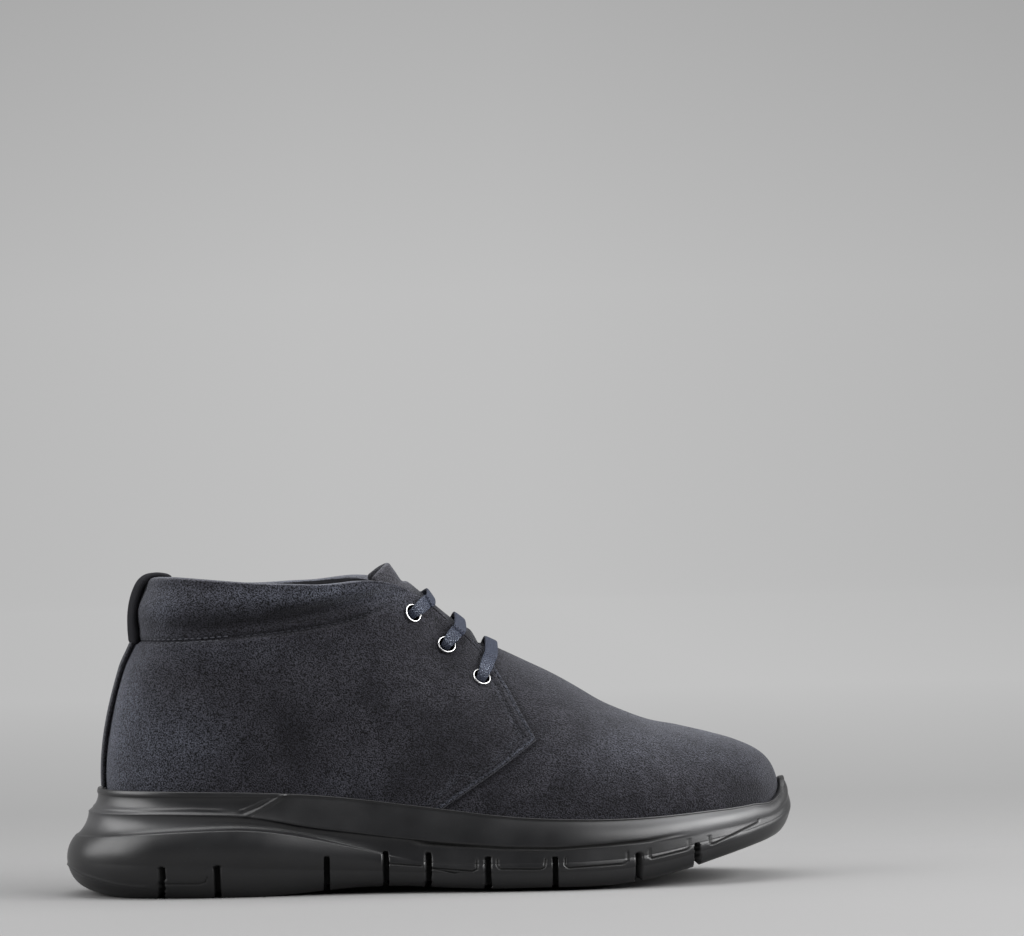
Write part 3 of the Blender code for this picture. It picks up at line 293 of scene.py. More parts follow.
def run_along(points):
    """The way travelled along the points, up to each of them."""
    return np.concatenate([[0], np.cumsum(np.linalg.norm(np.diff(points, axis=0), axis=1))])


def change(surface, s, step):
    """How far the surface moves from just behind s to just ahead of it."""
    return surface(np.minimum(s + step, 1)) - surface(np.maximum(s - step, 0))


def solved(low, high, falls_short):
    """The value between low and high up to which falls_short is true, by halving."""
    for _ in range(STEPS_TO_SOLVE):
        middle = (low + high) / 2
        short = falls_short(middle)
        low, high = np.where(short, middle, low), np.where(short, high, middle)
    return low


def line_distance(x, z, line):
    """Distance of each point x, z from a line of corners, and the share of the way along it."""
    corners = np.asarray(line, float)
    run = run_along(corners)
    best, along = np.full(np.shape(x), np.inf), np.zeros(np.shape(x))
    for (ax, az), (bx, bz), before, after in zip(corners, corners[1:], run, run[1:]):
        f = np.clip(((x - ax) * (bx - ax) + (z - az) * (bz - az)) / (after - before)**2, 0, 1)
        d = np.hypot(x - ax - f * (bx - ax), z - az - f * (bz - az))
        along = np.where(d < best, (before + f * (after - before)) / run[-1], along)
        best = np.minimum(best, d)
    return best, along


def blobs(x, z, table):
    """Soft round spots, summed: each row is X, Z, half-widths and strength."""
    total = np.zeros(np.shape(x))
    for cx, cz, wide, tall, strength in table:
        total += strength * np.exp(-((x - cx) / wide)**2 - ((z - cz) / tall)**2)
    return total


# ---------------------------------------------------------------- the upper's surface
def section_rows(side):
    """The section table for one side, as columns of points, with the steering rows added."""
    table = dict(zip(UPPER_COLUMNS, np.asarray(UPPER_SECTIONS, float).T))

    def half(this):
        name = "lateral" if this == LATERAL else "medial"
        top_z = table["top_z"] - table["drop"] * (this == MEDIAL)
        return beside(table["foot_x"], this * table["foot_" + name], table["foot_z"],
                      table["top_x"], this * table["top_" + name], top_z,
                      *(table[key] for key in UPPER_COLUMNS[-4:]))

    here, there = half(side), half(-side)
    return np.vstack([there[1], here, there[-2]])


SECTIONS = {side: section_rows(side) for side in SIDES}


def level_normal(side, along):
    """The level direction away from that side, where the outline runs along."""
    return unit(beside(-along[..., 1], along[..., 0], 0 * along[..., 0]) * side)


def foot_normal(side, s):
    normal = level_normal(side, change(lambda s: spline(SECTIONS[side], s), s, SECTION_STEP))
    normal[..., 1] = np.where((s <= 0) | (s >= 1), 0, normal[..., 1])
    return unit(normal)


def upper_point(side, s, t):
    """A point of the upper's smooth outer surface: s from heel to toe, t from foot to top."""
    s, t = np.broadcast_arrays(np.asarray(s, float), np.asarray(t, float))
    values = spline(SECTIONS[side], s)
    foot, top = values[..., 0:3], values[..., 3:6]
    rise, flare, reach, pitch = np.moveaxis(values[..., 6:10], -1, 0)
    top_run = change(lambda s: spline(SECTIONS[side], s)[..., 3:6], s, SECTION_STEP)
    slope = np.clip(top_run[..., 2] / np.maximum(top_run[..., 0], 1e-3), -0.9, 0)
    slope *= rise_between(s, *SLOPE_STARTS)
    flare, pitch = np.radians(flare), np.radians(pitch)
    start = foot_normal(side, s) * np.sin(flare)[..., None]
    start[..., 2] = np.cos(flare)
    end = unit((foot - top) * (1, 1, 0)) * np.cos(pitch)[..., None]
    end[..., 2] += slope * end[..., 0] - np.sin(pitch)
    lean = (top - foot) * (1, 0, 0) / 3 * window(s, LEAN_STARTS, LEAN_STOPS)[..., None]
    first = foot + start * rise[..., None] + lean
    second = top + end * reach[..., None]
    return bezier(t[..., None], foot, first, second, top)


def upper_normal(side, s, t):
    """The outward direction of the surface, taken just below the ridge where the rows meet."""
    s, t = np.broadcast_arrays(np.asarray(s, float), np.asarray(t, float))
    near = np.minimum(t, BELOW_RIDGE)
    along = change(lambda s: upper_point(side, s, near), s, NORMAL_STEP)
    up = change(lambda t: upper_point(side, s, t), near, NORMAL_STEP)
    normal = np.cross(up, along) * side
    centre = (s <= 0) | (s >= 1) | ((t >= 1) & (s >= THROAT_END - 1e-9))
    normal[..., 1] = np.where(centre, 0, normal[..., 1])
    return unit(normal)


def quarter_edge(side, t):
    """The s at which the quarter's front edge crosses the row at height t."""
    edge_x, edge_z = np.asarray(QUARTER_EDGE, float)[::-1].T
    corner = int(np.argmax(edge_x))

    def behind(s):
        x, _, z = np.moveaxis(upper_point(side, s, t), -1, 0)
        above = np.interp(z, edge_z[corner:], edge_x[corner:])
        below = np.interp(z, edge_z[:corner + 1], edge_x[:corner + 1])
        return x < np.where(z > edge_z[corner], above, below)

    edge = solved(*(np.full(np.shape(t), end) for end in EDGE_BETWEEN), behind)
    return np.where(t >= 1, EDGE_TOP, edge)


def collar_relief(point, s):
    """How far the padded collar swells, and the trough over its seam sinks."""
    seam, trough = np.moveaxis(smooth_rows(COLLAR_SEAM, point[..., 0]), -1, 0)
    height = point[..., 2]
    swell = COLLAR_SWELL * bump((height - trough - COLLAR_SWELL_UP) / COLLAR_SWELL_HALF)
    sink = TROUGH_DEPTH * bump((height - trough) / TROUGH_HALF)
    sink *= rise_between(point[..., 0], *TROUGH_ENDS)
    sink += SEAM_DEPTH * bump((height - seam) / SEAM_HALF)
    heel = 1 - rise_between(point[..., 0], *PINCH_ENDS)
    sink += HEEL_PINCH * bump((height - seam) / HEEL_PINCH_HEIGHT) * heel
    return (swell - sink) * (1 - rise_between(s, *RELIEF_ENDS))


def inner_wall(side, s, t):
    base = upper_point(side, s, t)
    seam = smooth_rows(COLLAR_SEAM, base[..., 0])[..., 0]
    pad = COLLAR_PAD * rise_between(base[..., 2] - seam, *PAD_HEIGHTS)
    pad *= 1 - rise_between(s, *PAD_ENDS)
    return base - upper_normal(side, s, t) * (VAMP_WALL + pad)[..., None]


def section_at(x, z):
    """s and t of the point of the outer side that lies at x, z when seen from the side."""
    s, t = 8 / SPANS, 0.9
    for _ in range(STEPS_TO_SOLVE):
        here = upper_point(LATERAL, s, t)
        by_s = (upper_point(LATERAL, s + 1e-3, t) - here) * 1e3
        by_t = (here - upper_point(LATERAL, s, t - 1e-3)) * 1e3
        move = np.linalg.solve([[by_s[0], by_t[0]], [by_s[2], by_t[2]]], [x - here[0], z - here[2]])
        s, t = s + 0.7 * move[0], min(t + 0.7 * move[1], 0.99)
    return s, t


# ---------------------------------------------------------------- mesh helpers
def placed(points):
    """Table millimetres to metres in the shoe's frame."""
    return (np.asarray(points, float) - TABLE_ORIGIN) * MM


def grid_faces(rows, columns, closed=False, start=0):
    """Corner numbers of the squares between the points of a grid."""
    r, c = np.meshgrid(np.arange(rows - 1), np.arange(columns if closed else columns - 1),
                       indexing="ij")
    d = (c + 1) % columns
    corners = beside(r * columns + c, r * columns + d, (r + 1) * columns + d, (r + 1) * columns + c)
    return corners.reshape(-1, 4) + start


def joined(grids, closed=False):
    """The points and faces of several grids, as one mesh."""
    points, faces, count = [], [], 0
    for grid in grids:
        faces.append(grid_faces(*grid.shape[:2], closed, count))
        points.append(grid.reshape(-1, 3))
        count += len(points[-1])
    return np.vstack(points), np.vstack(faces)


def meet(sides, place):
    """Moves the two sides' points at that place to the middle between them."""
    sides[LATERAL][place] = sides[MEDIAL][place] = (sides[LATERAL][place] + sides[MEDIAL][place]) / 2


def add_object(name, data):
    obj = bpy.data.objects.new(name, data)
    bpy.context.scene.collection.objects.link(obj)
    return obj


def mesh_object(name, points, faces, look, slot=None, merge=False, values=None, uv=None):
    """A smooth mesh object from points in table millimetres, with its material and vertex values."""
    mesh = bpy.data.meshes.new(name)
    mesh.from_pydata(placed(points).tolist(), [], faces.tolist())
    for key, numbers in (values or {}).items():
        attribute = mesh.attributes.new(key, "FLOAT", "POINT")
        attribute.data.foreach_set("value", np.asarray(numbers, np.float32).ravel())
    if uv is not None:
        layer = mesh.uv_layers.new(name="UVMap")
        layer.data.foreach_set("uv", np.asarray(uv, np.float32)[faces.ravel()].ravel())
    if merge:
        bm = bmesh.new()
        bm.from_mesh(mesh)
        bmesh.ops.remove_doubles(bm, verts=bm.verts[:], dist=MERGE_WITHIN * MM)
        bmesh.ops.recalc_face_normals(bm, faces=bm.faces[:])
        bm.to_mesh(mesh)
        bm.free()
    mesh.shade_smooth()
    obj = add_object(name, mesh)
    mesh.materials.append(look)
    if slot:
        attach(obj, "root")
    return obj


def grid_object(name, grids, look, slot=None, closed=False, **more):
    """A mesh object from one or more grids of points."""
    return mesh_object(name, *joined(grids, closed), look, slot, **more)


class Look:
    """A node material with short ways to add and join its nodes."""

    def __init__(self, name, colour, roughness, metallic=0.0, specular=0.5):
        self.material = bpy.data.materials.new(name)
        self.material.use_nodes = True
        self.tree = self.material.node_tree
        self.shader = self.tree.nodes["Principled BSDF"]
        self.put("Base Color", colour)
        self.put("Roughness", roughness)
        self.put("Metallic", metallic)
        self.put("Specular IOR Level", specular)
        self.place = self.add("TexCoord").outputs["Object"]

    def add(self, kind, **settings):
        node = self.tree.nodes.new("ShaderNode" + kind)
        for key, value in settings.items():
            setattr(node, key, value)
        return node

    def join(self, socket, value):
        if isinstance(value, bpy.types.NodeSocket):
            self.tree.links.new(value, socket)
        elif isinstance(value, tuple):
            socket.default_value = (*value, 1)
        else:
            socket.default_value = value

    def filled(self, node, **inputs):
        """The node, with values or other nodes' outputs given to its named inputs."""
        for name, value in inputs.items():
            self.join(node.inputs[name.replace("_", " ")], value)
        return node

    def put(self, name, value):
        self.join(self.shader.inputs[name], value)

    def noise(self, feature_mm, detail=2.0, roughness=0.5, distortion=0.0):
        """Noise whose features are about that many millimetres across, from 0 to 1."""
        node = self.filled(self.add("TexNoise"), Vector=self.place, Scale=1 / (feature_mm * MM),
                           Detail=detail, Roughness=roughness, Distortion=distortion)
        return node.outputs["Fac"]

    def math(self, operation, a, b=0.0, clamp=False):
        node = self.add("Math", operation=operation, use_clamp=clamp)
        self.join(node.inputs[0], a)
        self.join(node.inputs[1], b)
        return node.outputs[0]

    def times(self, a, b, clamp=False):
        return self.math("MULTIPLY", a, b, clamp)

    def plus(self, a, b):
        return self.math("ADD", a, b)

    def span(self, value, low, high, to_low=0.0, to_high=1.0):
        node = self.filled(self.add("MapRange"), Value=value, From_Min=low, From_Max=high,
                           To_Min=to_low, To_Max=to_high)
        return node.outputs["Result"]

    def mix(self, share, a, b, blend="MIX"):
        node = self.add("Mix", data_type="RGBA", blend_type=blend)
        for number, value in ((0, share), (6, a), (7, b)):
            self.join(node.inputs[number], value)
        return node.outputs[2]

    def value(self, name):
        return self.add("Attribute", attribute_name=name).outputs["Fac"]

    def split(self, vector):
        node = self.add("SeparateXYZ")
        self.join(node.inputs[0], vector)
        return node.outputs

    def uv(self):
        """The faces' own UV, which is in millimetres."""
        return self.split(self.add("UVMap", uv_map="UVMap").outputs[0])[:2]

    def relief(self, height, distance_mm, strength=1.0):
        """Adds a bump on top of any that the material already has."""
        node = self.filled(self.add("Bump"), Strength=strength, Distance=distance_mm * MM,
                           Height=height)
        normal = self.shader.inputs["Normal"]
        if normal.is_linked:
            self.join(node.inputs["Normal"], normal.links[0].from_socket)
        self.join(normal, node.outputs["Normal"])


def dimmed(colour, share):
    return tuple(share * c for c in colour)


def suede_look(name, dark, middle, light, panels=True):
    """Napped suede: mottled at three sizes, with lighter places that are partly wear and partly painted
    light, and painted shade.
    """
    look = Look(name, middle, 0.92, specular=0.12)
    patch = look.noise(7.0, 3.0, 0.55)
    cloud = look.noise(24.0, 2.0, 0.5, distortion=0.6)
    tone = look.plus(look.times(patch, 0.5), look.times(cloud, 0.5))
    colour = look.mix(look.span(tone, 0.39, 0.61), dark, middle)
    if panels:
        rubbed_and_lit = look.times(look.value("rubbed_and_lit"), look.span(tone, 0.34, 0.58, 0.65, 1.15))
        colour = look.mix(look.times(rubbed_and_lit, 0.8, clamp=True), colour, light)
        hollow = look.span(tone, 0.38, 0.60, 1.05, 0.45)
        shade_and_tone = look.times(look.value("shade_and_tone"), hollow, clamp=True)
        colour = look.mix(shade_and_tone, colour, dimmed(dark, 0.6))
    nap = look.plus(look.times(look.noise(0.58, 1.0, 0.6), 0.88),
                    look.times(look.noise(1.1, 2.0, 0.6), 0.12))
    grain = look.mix(1.0, colour, look.span(nap, 0.38, 0.62, 0.05, 2.1), "MULTIPLY")
    # painted shade where the sunk value is set: on the tongue, under the facings and laces, away from
    # its free tip
    look.put("Base Color", look.mix(look.times(look.value("sunk"), 0.75), grain, (0.004, 0.004, 0.005)))
    look.put("Sheen Weight", 0.25)
    look.put("Sheen Roughness", 0.45)
    look.put("Sheen Tint", (0.74, 0.76, 0.84))
    look.relief(nap, 0.5, 1.0)
    look.relief(patch, 0.5, 0.35)
    return look.material


def rubber_look(name, colour):
    """Satin moulded rubber, with painted shade and a duller finish where a line or a slot is sunk into
    it, and painted highlight at the toe and heel.
    """
    look = Look(name, colour, 0.3, specular=0.5)
    cloud = look.noise(14.0, 3.0, 0.55)
    dust = look.span(look.noise(0.5, 1.0), 0.74, 0.80)
    tone = look.mix(look.span(cloud, 0.3, 0.7), dimmed(colour, 0.85), dimmed(colour, 1.2))
    tone = look.mix(look.times(dust, 0.22), tone, (0.12, 0.12, 0.12))
    # painted highlight: lighter grey where the lamps' broad sheen falls at the toe and heel
    tone = look.mix(look.value("painted_highlight"), tone, (0.064, 0.064, 0.067))
    sunk = look.value("sunk")
    # painted shade in the engraved lines, the undercut and the slots
    look.put("Base Color", look.mix(sunk, tone, (0.002, 0.002, 0.002)))
    gloss = look.span(cloud, 0.3, 0.7, 0.33, 0.41)
    look.put("Roughness", look.plus(gloss, look.times(sunk, 0.6)))
    look.relief(look.noise(0.9, 3.0, 0.6), 0.10, 0.22)
    look.relief(cloud, 0.5, 0.10)
    return look.material


def weave_look(name, colour, light, pitch_mm):
    """Plain woven cloth."""
    look = Look(name, colour, 0.9, specular=0.1)
    weave = look.times(*(look.math("SINE", look.times(way, 2 * math.pi / pitch_mm))
                         for way in look.uv()))
    height = look.plus(look.times(weave, 0.5), look.noise(0.5, 2.0))
    look.put("Base Color", look.mix(look.span(height, 0.1, 0.9), colour, light))
    look.relief(height, 0.2, 0.6)
    return look.material


def lace_look(name, dark, light):
    """Waxed braid: two crossing sets of threads, with painted glints where it bends out of a hole and
    painted shade inside it.
    """
    look = Look(name, light, 0.5, specular=0.2)
    along, across = look.uv()
    strands = []
    for slant in (0.72, -0.72):
        turn = look.plus(look.times(along, 0.62), look.times(across, slant))
        strands.append(look.math("SINE", look.times(turn, 2 * math.pi)))
    height = look.plus(look.times(look.math("MAXIMUM", *strands), 0.6),
                       look.times(look.noise(0.45, 2.0, 0.6), 0.8))
    base = look.mix(look.span(height, -0.1, 1.0), dark, light)
    # painted glints near the hole, with a lower roughness there, and painted shade inside the hole
    spark = look.times(look.span(look.noise(0.42, 1.0, 0.5), 0.60, 0.70), look.value("painted_glint"))
    base = look.mix(look.times(look.value("sunk"), 0.8), base, (0.006, 0.008, 0.018))
    look.put("Base Color", look.mix(spark, base, (0.30, 0.34, 0.42)))
    look.put("Roughness", look.span(spark, 0.0, 1.0, 0.55, 0.28))
    look.relief(height, 0.22, 0.8)
    return look.material


def metal_look(name, colour, roughness):
    look = Look(name, colour, roughness, metallic=1.0)
    scratch = look.noise(1.2, 3.0)
    # painted shade inside the eyelet's funnel and barrel, where sunk is set
    look.put("Base Color", look.mix(look.value("sunk"), colour, (0.02, 0.02, 0.02)))
    look.put("Roughness", look.span(scratch, 0.3, 0.7, roughness * 0.8, roughness * 1.4))
    look.relief(scratch, 0.03, 0.2)
    return look.material


def thread_look(name, colour, roughness, specular):
    look = Look(name, colour, roughness, specular=specular)
    look.relief(look.noise(0.3, 2.0), 0.1, 0.6)
    return look.material


SUEDE = suede_look("slate_suede", (0.0105, 0.0102, 0.0130), (0.0175, 0.0171, 0.0210),
                   (0.0415, 0.0445, 0.0565))
TONGUE_SUEDE = suede_look("tongue_suede", (0.015, 0.0145, 0.017), (0.024, 0.0235, 0.028),
                          (0.05, 0.05, 0.06), panels=False)
STRIP_SUEDE = suede_look("back_strip_suede", (0.008, 0.008, 0.010), (0.014, 0.014, 0.017),
                         (0.02, 0.02, 0.025), panels=False)
RUBBER = rubber_look("black_foam_rubber", (0.0055, 0.0055, 0.0062))
LINING = weave_look("dark_lining", (0.012, 0.012, 0.014), (0.03, 0.03, 0.034), 0.9)
FOOTBED = weave_look("insole_textile", (0.022, 0.022, 0.026), (0.045, 0.045, 0.05), 1.1)
TAPE = weave_look("woven_tape", (0.004, 0.004, 0.005), (0.016, 0.016, 0.019), 1.0)
WAXED = lace_look("waxed_lace", (0.007, 0.009, 0.017), (0.026, 0.032, 0.051))
NICKEL = metal_look("nickel", (0.78, 0.78, 0.78), 0.2)
THREAD = thread_look("thread", (0.040, 0.041, 0.050), 0.7, 0.25)
SOFT_THREAD = thread_look("soft_thread", (0.020, 0.021, 0.026), 0.8, 0.2)


# ---------------------------------------------------------------- the suede upper
# Columns: behind the quarter's edge, beside the front of the throat, and ahead of it.
BEHIND, BESIDE, OVER = 150, 8, 92
ROWS = 116
FAR = 20.0                                   # the distance given where the quarter's edge is far off
EDGE_OFFSETS = np.array([-8.0, -7.0, -6.2, -5.6, -5.1, -4.6, -4.1, -3.5, -2.9, -2.3, -1.9, -1.6,
                         -1.2, -0.9, -0.6, -0.38, -0.2, -0.05, 0.06, 0.16, 0.5, 1.1, 1.9, 3.0])
DISTANCE = np.concatenate([np.full(BEHIND, -FAR), EDGE_OFFSETS, np.full(BESIDE + OVER, FAR)])
ON_QUARTER = 1 - rise_between(DISTANCE, -0.4, 0.17)
THROAT_COLUMN = BEHIND + len(EDGE_OFFSETS) + BESIDE
LEAST_GAP = 1e-4                             # between two columns, in s
RIDGE_ROWS, RIDGE_PASSES = 9, 8
ROLL_ROWS, ROLL_HEIGHT = 12, 0.05175         # the rolled edge: its height by its width squared
SEAM_ROWS = ((-1.7, 0.3), (-4.7, 0.2))       # distance from the quarter's edge, depth
SEAM_ROW_HALF = 0.75
BETWEEN_ROWS, BETWEEN_RISE, BETWEEN_HALF = -3.2, 0.18, 1.3
COLLAR_PULL, COLLAR_PULL_HALF = 0.8, 1.7     # the thread draws the suede in
FOLD, FOLD_HALF, FOLD_STARTS, FOLD_STOPS = 0.7, 3.0, (80.0, 104.0), (124.0, 134.0)
FOLD_RIDGE_UP, FOLD_RIDGE_HALF = 4.5, 3.5
DENTS = ((91, 62, 8, 11, -1.5), (105, 58, 10, 16, 0.5), (60, 88, 16, 8, -0.5))
CREASE, CREASE_AT, CREASE_SLANT, CREASE_HALF, CREASE_RISE = 0.45, 222, 0.25, 7, (45, 62)
HOLE_IN_SUEDE, HOLE_IN_LINING, HOLE_REACH = 3.1, 2.6, 12.0
LINING_ROWS, LINING_BESIDE, LINING_OVER = 60, 110, 59
LINING_HEIGHT, LINING_LENGTH = 150, 380      # of its weave, unrolled


def edge_scale(side, t):
    """The quarter's edge at height t: its s, and how much s changes for a millimetre off it."""
    edge = quarter_edge(side, t)
    by_s = (upper_point(side, edge + 1e-3, t) - upper_point(side, edge, t)) * 1e3
    low, high = (np.clip(t + step, 0, 0.999) for step in (-0.006, 0.006))
    run = upper_point(side, quarter_edge(side, high), high)
    run = run - upper_point(side, quarter_edge(side, low), low)
    slant = np.linalg.norm(np.cross(unit(by_s), unit(run)), axis=-1)
    return edge, 1 / (np.linalg.norm(by_s, axis=-1) * np.clip(slant, 0.5, 1))


def dense_columns(side, t):
    """s of every column of the row at height t."""
    edge, per_mm = edge_scale(side, np.float64(t))
    behind = np.linspace(0, 1, BEHIND + 1)[:-1] * (edge + EDGE_OFFSETS[0] * per_mm)
    near = edge + EDGE_OFFSETS * per_mm
    front = np.concatenate([np.linspace(EDGE_TOP, THROAT_END, BESIDE + 1)[1:],
                            np.linspace(THROAT_END, 1, OVER + 1)[1:]])
    if t < 1:
        share, last = (front - EDGE_TOP) / (1 - EDGE_TOP), near[-1]
        front = np.maximum(last + share * (1 - last), last + LEAST_GAP * np.arange(1, len(share) + 1))
    return np.concatenate([behind, near, front])


def wall_relief(point, s):
    """Everything that lifts or sinks the suede off its smooth surface, but for the step."""
    x, z = point[..., 0], point[..., 2]
    seam, trough = np.moveaxis(smooth_rows(COLLAR_SEAM, x), -1, 0)
    fade = 1 - rise_between(s, *PAD_ENDS)
    fold = FOLD * window(x, FOLD_STARTS, FOLD_STOPS) * fade
    fold *= bump((z - trough - FOLD_RIDGE_UP) / FOLD_RIDGE_HALF) - bump((z - trough) / FOLD_HALF)
    crease = np.exp(-((x - CREASE_AT - CREASE_SLANT * (z - 60)) / CREASE_HALF)**2)
    waves = np.sin(x / 9.0 + z / 14.0) * np.sin(z / 11.0 - x / 21.0)
    return (collar_relief(point, s) - COLLAR_PULL * bump((z - seam) / COLLAR_PULL_HALF) * fade
            + fold + blobs(x, z, DENTS) - CREASE * crease * rise_between(z, *CREASE_RISE)
            + 0.30 * waves)


def outer_grid(side):
    """The outer points of one side, row by row from the foot up."""
    rows = []
    for t in np.linspace(0, 1, ROWS):
        s = dense_columns(side, t)
        base = upper_point(side, s, t)
        out = QUARTER_STEP * ON_QUARTER + wall_relief(base, s)
        for distance, depth in SEAM_ROWS:
            out -= depth * bump((DISTANCE - distance) / SEAM_ROW_HALF)
        out += BETWEEN_RISE * bump((DISTANCE - BETWEEN_ROWS) / BETWEEN_HALF)
        rows.append(base + upper_normal(side, s, t) * out[:, None])
    return np.array(rows)


def eyelet_places(side):
    """Centre and outward direction of each eyelet of one side, from the top down."""
    places = []
    for x, z, *_ in LACES:
        s, t = section_at(x, z)
        normal = upper_normal(side, s, t)
        places.append((upper_point(side, s, t) + normal * QUARTER_STEP, normal))
    return places


EYELETS = {side: eyelet_places(side) for side in SIDES}


def without_holes(points, faces, radius):
    """The faces that don't lie at an eyelet's hole."""
    middle = points[faces].mean(axis=1)
    keep = np.ones(len(faces), bool)
    for place, normal in EYELETS[LATERAL] + EYELETS[MEDIAL]:
        off = middle - place
        along = off @ normal
        aside = np.linalg.norm(off - along[:, None] * normal, axis=1)
        keep &= (aside > radius) | (np.abs(along) > HOLE_REACH)
    return faces[keep]


def round_ridge(grids):
    """Rounds the line where the two sides meet over the vamp, ahead of the throat."""
    lateral, medial = (grids[side][:, THROAT_COLUMN:] for side in SIDES)
    strip = np.concatenate([lateral[-RIDGE_ROWS:], medial[-2:-RIDGE_ROWS - 1:-1]])
    share = np.clip(np.arange(strip.shape[1]) / 3, 0, 1)[:, None]
    for _ in range(RIDGE_PASSES):
        strip[1:-1] += (evened(strip) - strip[1:-1]) * share
    lateral[-RIDGE_ROWS:] = strip[:RIDGE_ROWS]
    medial[-RIDGE_ROWS:] = strip[:RIDGE_ROWS - 2:-1]


def rim_and_outside():
    """Each side's outer grid, and rows of the rolled edge from its top row to the inner one."""
    grids = {side: outer_grid(side) for side in SIDES}
    meet(grids, np.s_[:, 0])
    meet(grids, np.s_[-1, THROAT_COLUMN:])
    round_ridge(grids)
    inner = {side: inner_wall(side, dense_columns(side, 1.0)[:THROAT_COLUMN + 1], 1) for side in SIDES}
    meet(inner, [0, -1])
    rolls = {}
    for side, grid in grids.items():
        a, b, c = grid[-1, :THROAT_COLUMN + 1], inner[side], grid[-3, :THROAT_COLUMN + 1]
        width = np.linalg.norm(a - b, axis=1, keepdims=True)
        up = unit(a - c) * ROLL_HEIGHT * width**2
        centre = (a + b) / 2
        rolls[side] = np.array([centre + (a - centre) * math.cos(angle) + up * math.sin(angle)
                                for angle in np.linspace(0, math.pi, ROLL_ROWS)])
    return grids, rolls


def make_suede_upper(grids, rolls):
    points, faces = joined([part[side] for side in SIDES for part in (grids, rolls)])
    distance = np.concatenate([part for side in SIDES for part in
                               (np.tile(DISTANCE, ROWS), np.full(rolls[side][..., 0].size, -FAR))])
    faces = without_holes(points, faces, HOLE_IN_SUEDE)
    x, z = points[:, 0], points[:, 2]
    seam = smooth_rows(COLLAR_SEAM, x)[:, 0]
    front = rise_between(x, 125, 165)
    # painted light: the lighter places fade over the front half; a painted highlight on the quarter's
    # turned edge, and a fainter one 6 mm in
    rubbed_and_lit = blobs(x, z, RUBBED_AND_LIT) * (1 - 0.35 * front)
    rubbed_and_lit += 1.1 * bump((distance + 1.2) / 1.2) + 0.35 * bump((distance + 6) / 1.2)
    # painted shade: over the front half, where the lamps fall too strongly; along the collar seam;
    # ahead of the quarter's edge and along its inner stitch row
    shade_and_tone = blobs(x, z, SHADE_AND_TONE) + 0.45 * front
    shade_and_tone += 1.1 * bump((z - seam) / 2.0) * (1 - rise_between(x, 125, 135))
    shade_and_tone += 1.3 * bump((distance - 0.9) / 1.7) + 0.6 * bump((distance + 4.5) / 1.1)
    obj = mesh_object("suede_upper", points, faces, SUEDE, "slate_suede", merge=True,
                      values={"rubbed_and_lit": rubbed_and_lit, "shade_and_tone": shade_and_tone})
    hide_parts("upper")


def make_lining(rolls):
    """The lining, from under the rolled edge down to the footbed."""
    beside_throat = np.linspace(0, THROAT_END, LINING_BESIDE)
    s = np.concatenate([beside_throat, np.linspace(THROAT_END, 1, LINING_OVER + 1)[1:]])
    grids = []
    for side in SIDES:
        grid = inner_wall(side, s, np.linspace(1, 0, LINING_ROWS)[:, None])
        grid[:, 0, 1] = 0
        top_s = dense_columns(side, 1.0)[:THROAT_COLUMN + 1]
        grid[0, :LINING_BESIDE] = beside(*(np.interp(beside_throat, top_s, rolls[side][-1][:, k])
                                           for k in range(3)))
        grids.append(grid)
    points, faces = joined(grids)
    faces = without_holes(points, faces, HOLE_IN_LINING)
    uv = beside(*np.meshgrid(np.linspace(0, LINING_HEIGHT, LINING_ROWS),
                             np.linspace(0, LINING_LENGTH, len(s)), indexing="ij")).reshape(-1, 2)
    mesh_object("lining", points, faces, LINING, "insole_textile", uv=np.tile(uv, (2, 1)))


# ---------------------------------------------------------------- the moulded sole
OUTER_STATIONS, INNER_STATIONS = 440, 170
OUTLINE_SAMPLES, OUTLINE_ENDS = 900, 30      # the ends, in millimetres, get no extra stations
LEAST_STATION = 2e-4                         # between two stations, in s
RIM_STEP = 0.002
SLOT_SIDES = (-0.25, -0.05, 0.15)            # stations off each wall of a slot, inwards
SLOT_FADE = (-0.12, 0.06)
BAND_DEPTH, BAND_HALF, BAND_SHADE, BAND_ENDS = 1.1, 1.0, 1.6, ((0.0, 0.1), (0.8, 1.0))
LOW_RIDGES = ((PARTING_LINE, 0.5, 0.8), (UPPER_RIDGE, 0.3, 0.9))         # line, height, half-width
HIGH_RIDGES = ((BRIGHT_RIDGE, 1.0, 1.3), (THIN_RIDGE, 0.55, 0.9))
RIM_INSIDE = ((0.5, 0.15), (0.85, 0.5), (1.0, 1.2), (1.0, 6.0))         # share of the way in, drop
RIM_SWELL = 0.25
TREAD_COLUMNS, TREAD_STATIONS = 41, 300
RIB_PITCH, RIB_SLANT, RIB_HEIGHT = 5.0, 0.35, 0.35


def floor_height(x):
    """Height of the tread over the floor: heel bevel, flat heel, arch, flat ball, toe spring."""
    arch = ARCH_RISE * np.sin(np.pi * np.clip((x - ARCH_START) / (ARCH_END - ARCH_START), 0, 1))**2
    spring = np.maximum(x - TOE_SPRING_START, 0)**2 / (2 * TOE_SPRING_RADIUS)
    bevel = np.maximum(HEEL_BEVEL_START - x, 0)**2 / (2 * HEEL_BEVEL_RADIUS)
    return arch + spring + bevel


def edge_lift(x):
    """How much higher than the middle the tread's edges lie, beside the ball."""
    return EDGE_LIFT * bump((x - EDGE_LIFT_AT) / EDGE_LIFT_HALF)


def rim_place(side, s):
    """The upper's surface where each section passes the sole's rim."""
    wanted = smooth_rows(SOLE_SECTIONS, upper_point(side, s, 0.0)[:, 0])[:, -1]
    return solved(*(np.full(len(s), float(end)) for end in RIM_BETWEEN),
                  lambda t: upper_point(side, s, t)[:, 2] < wanted)


def rim_point(side, s):
    return upper_point(side, s, rim_place(side, s))


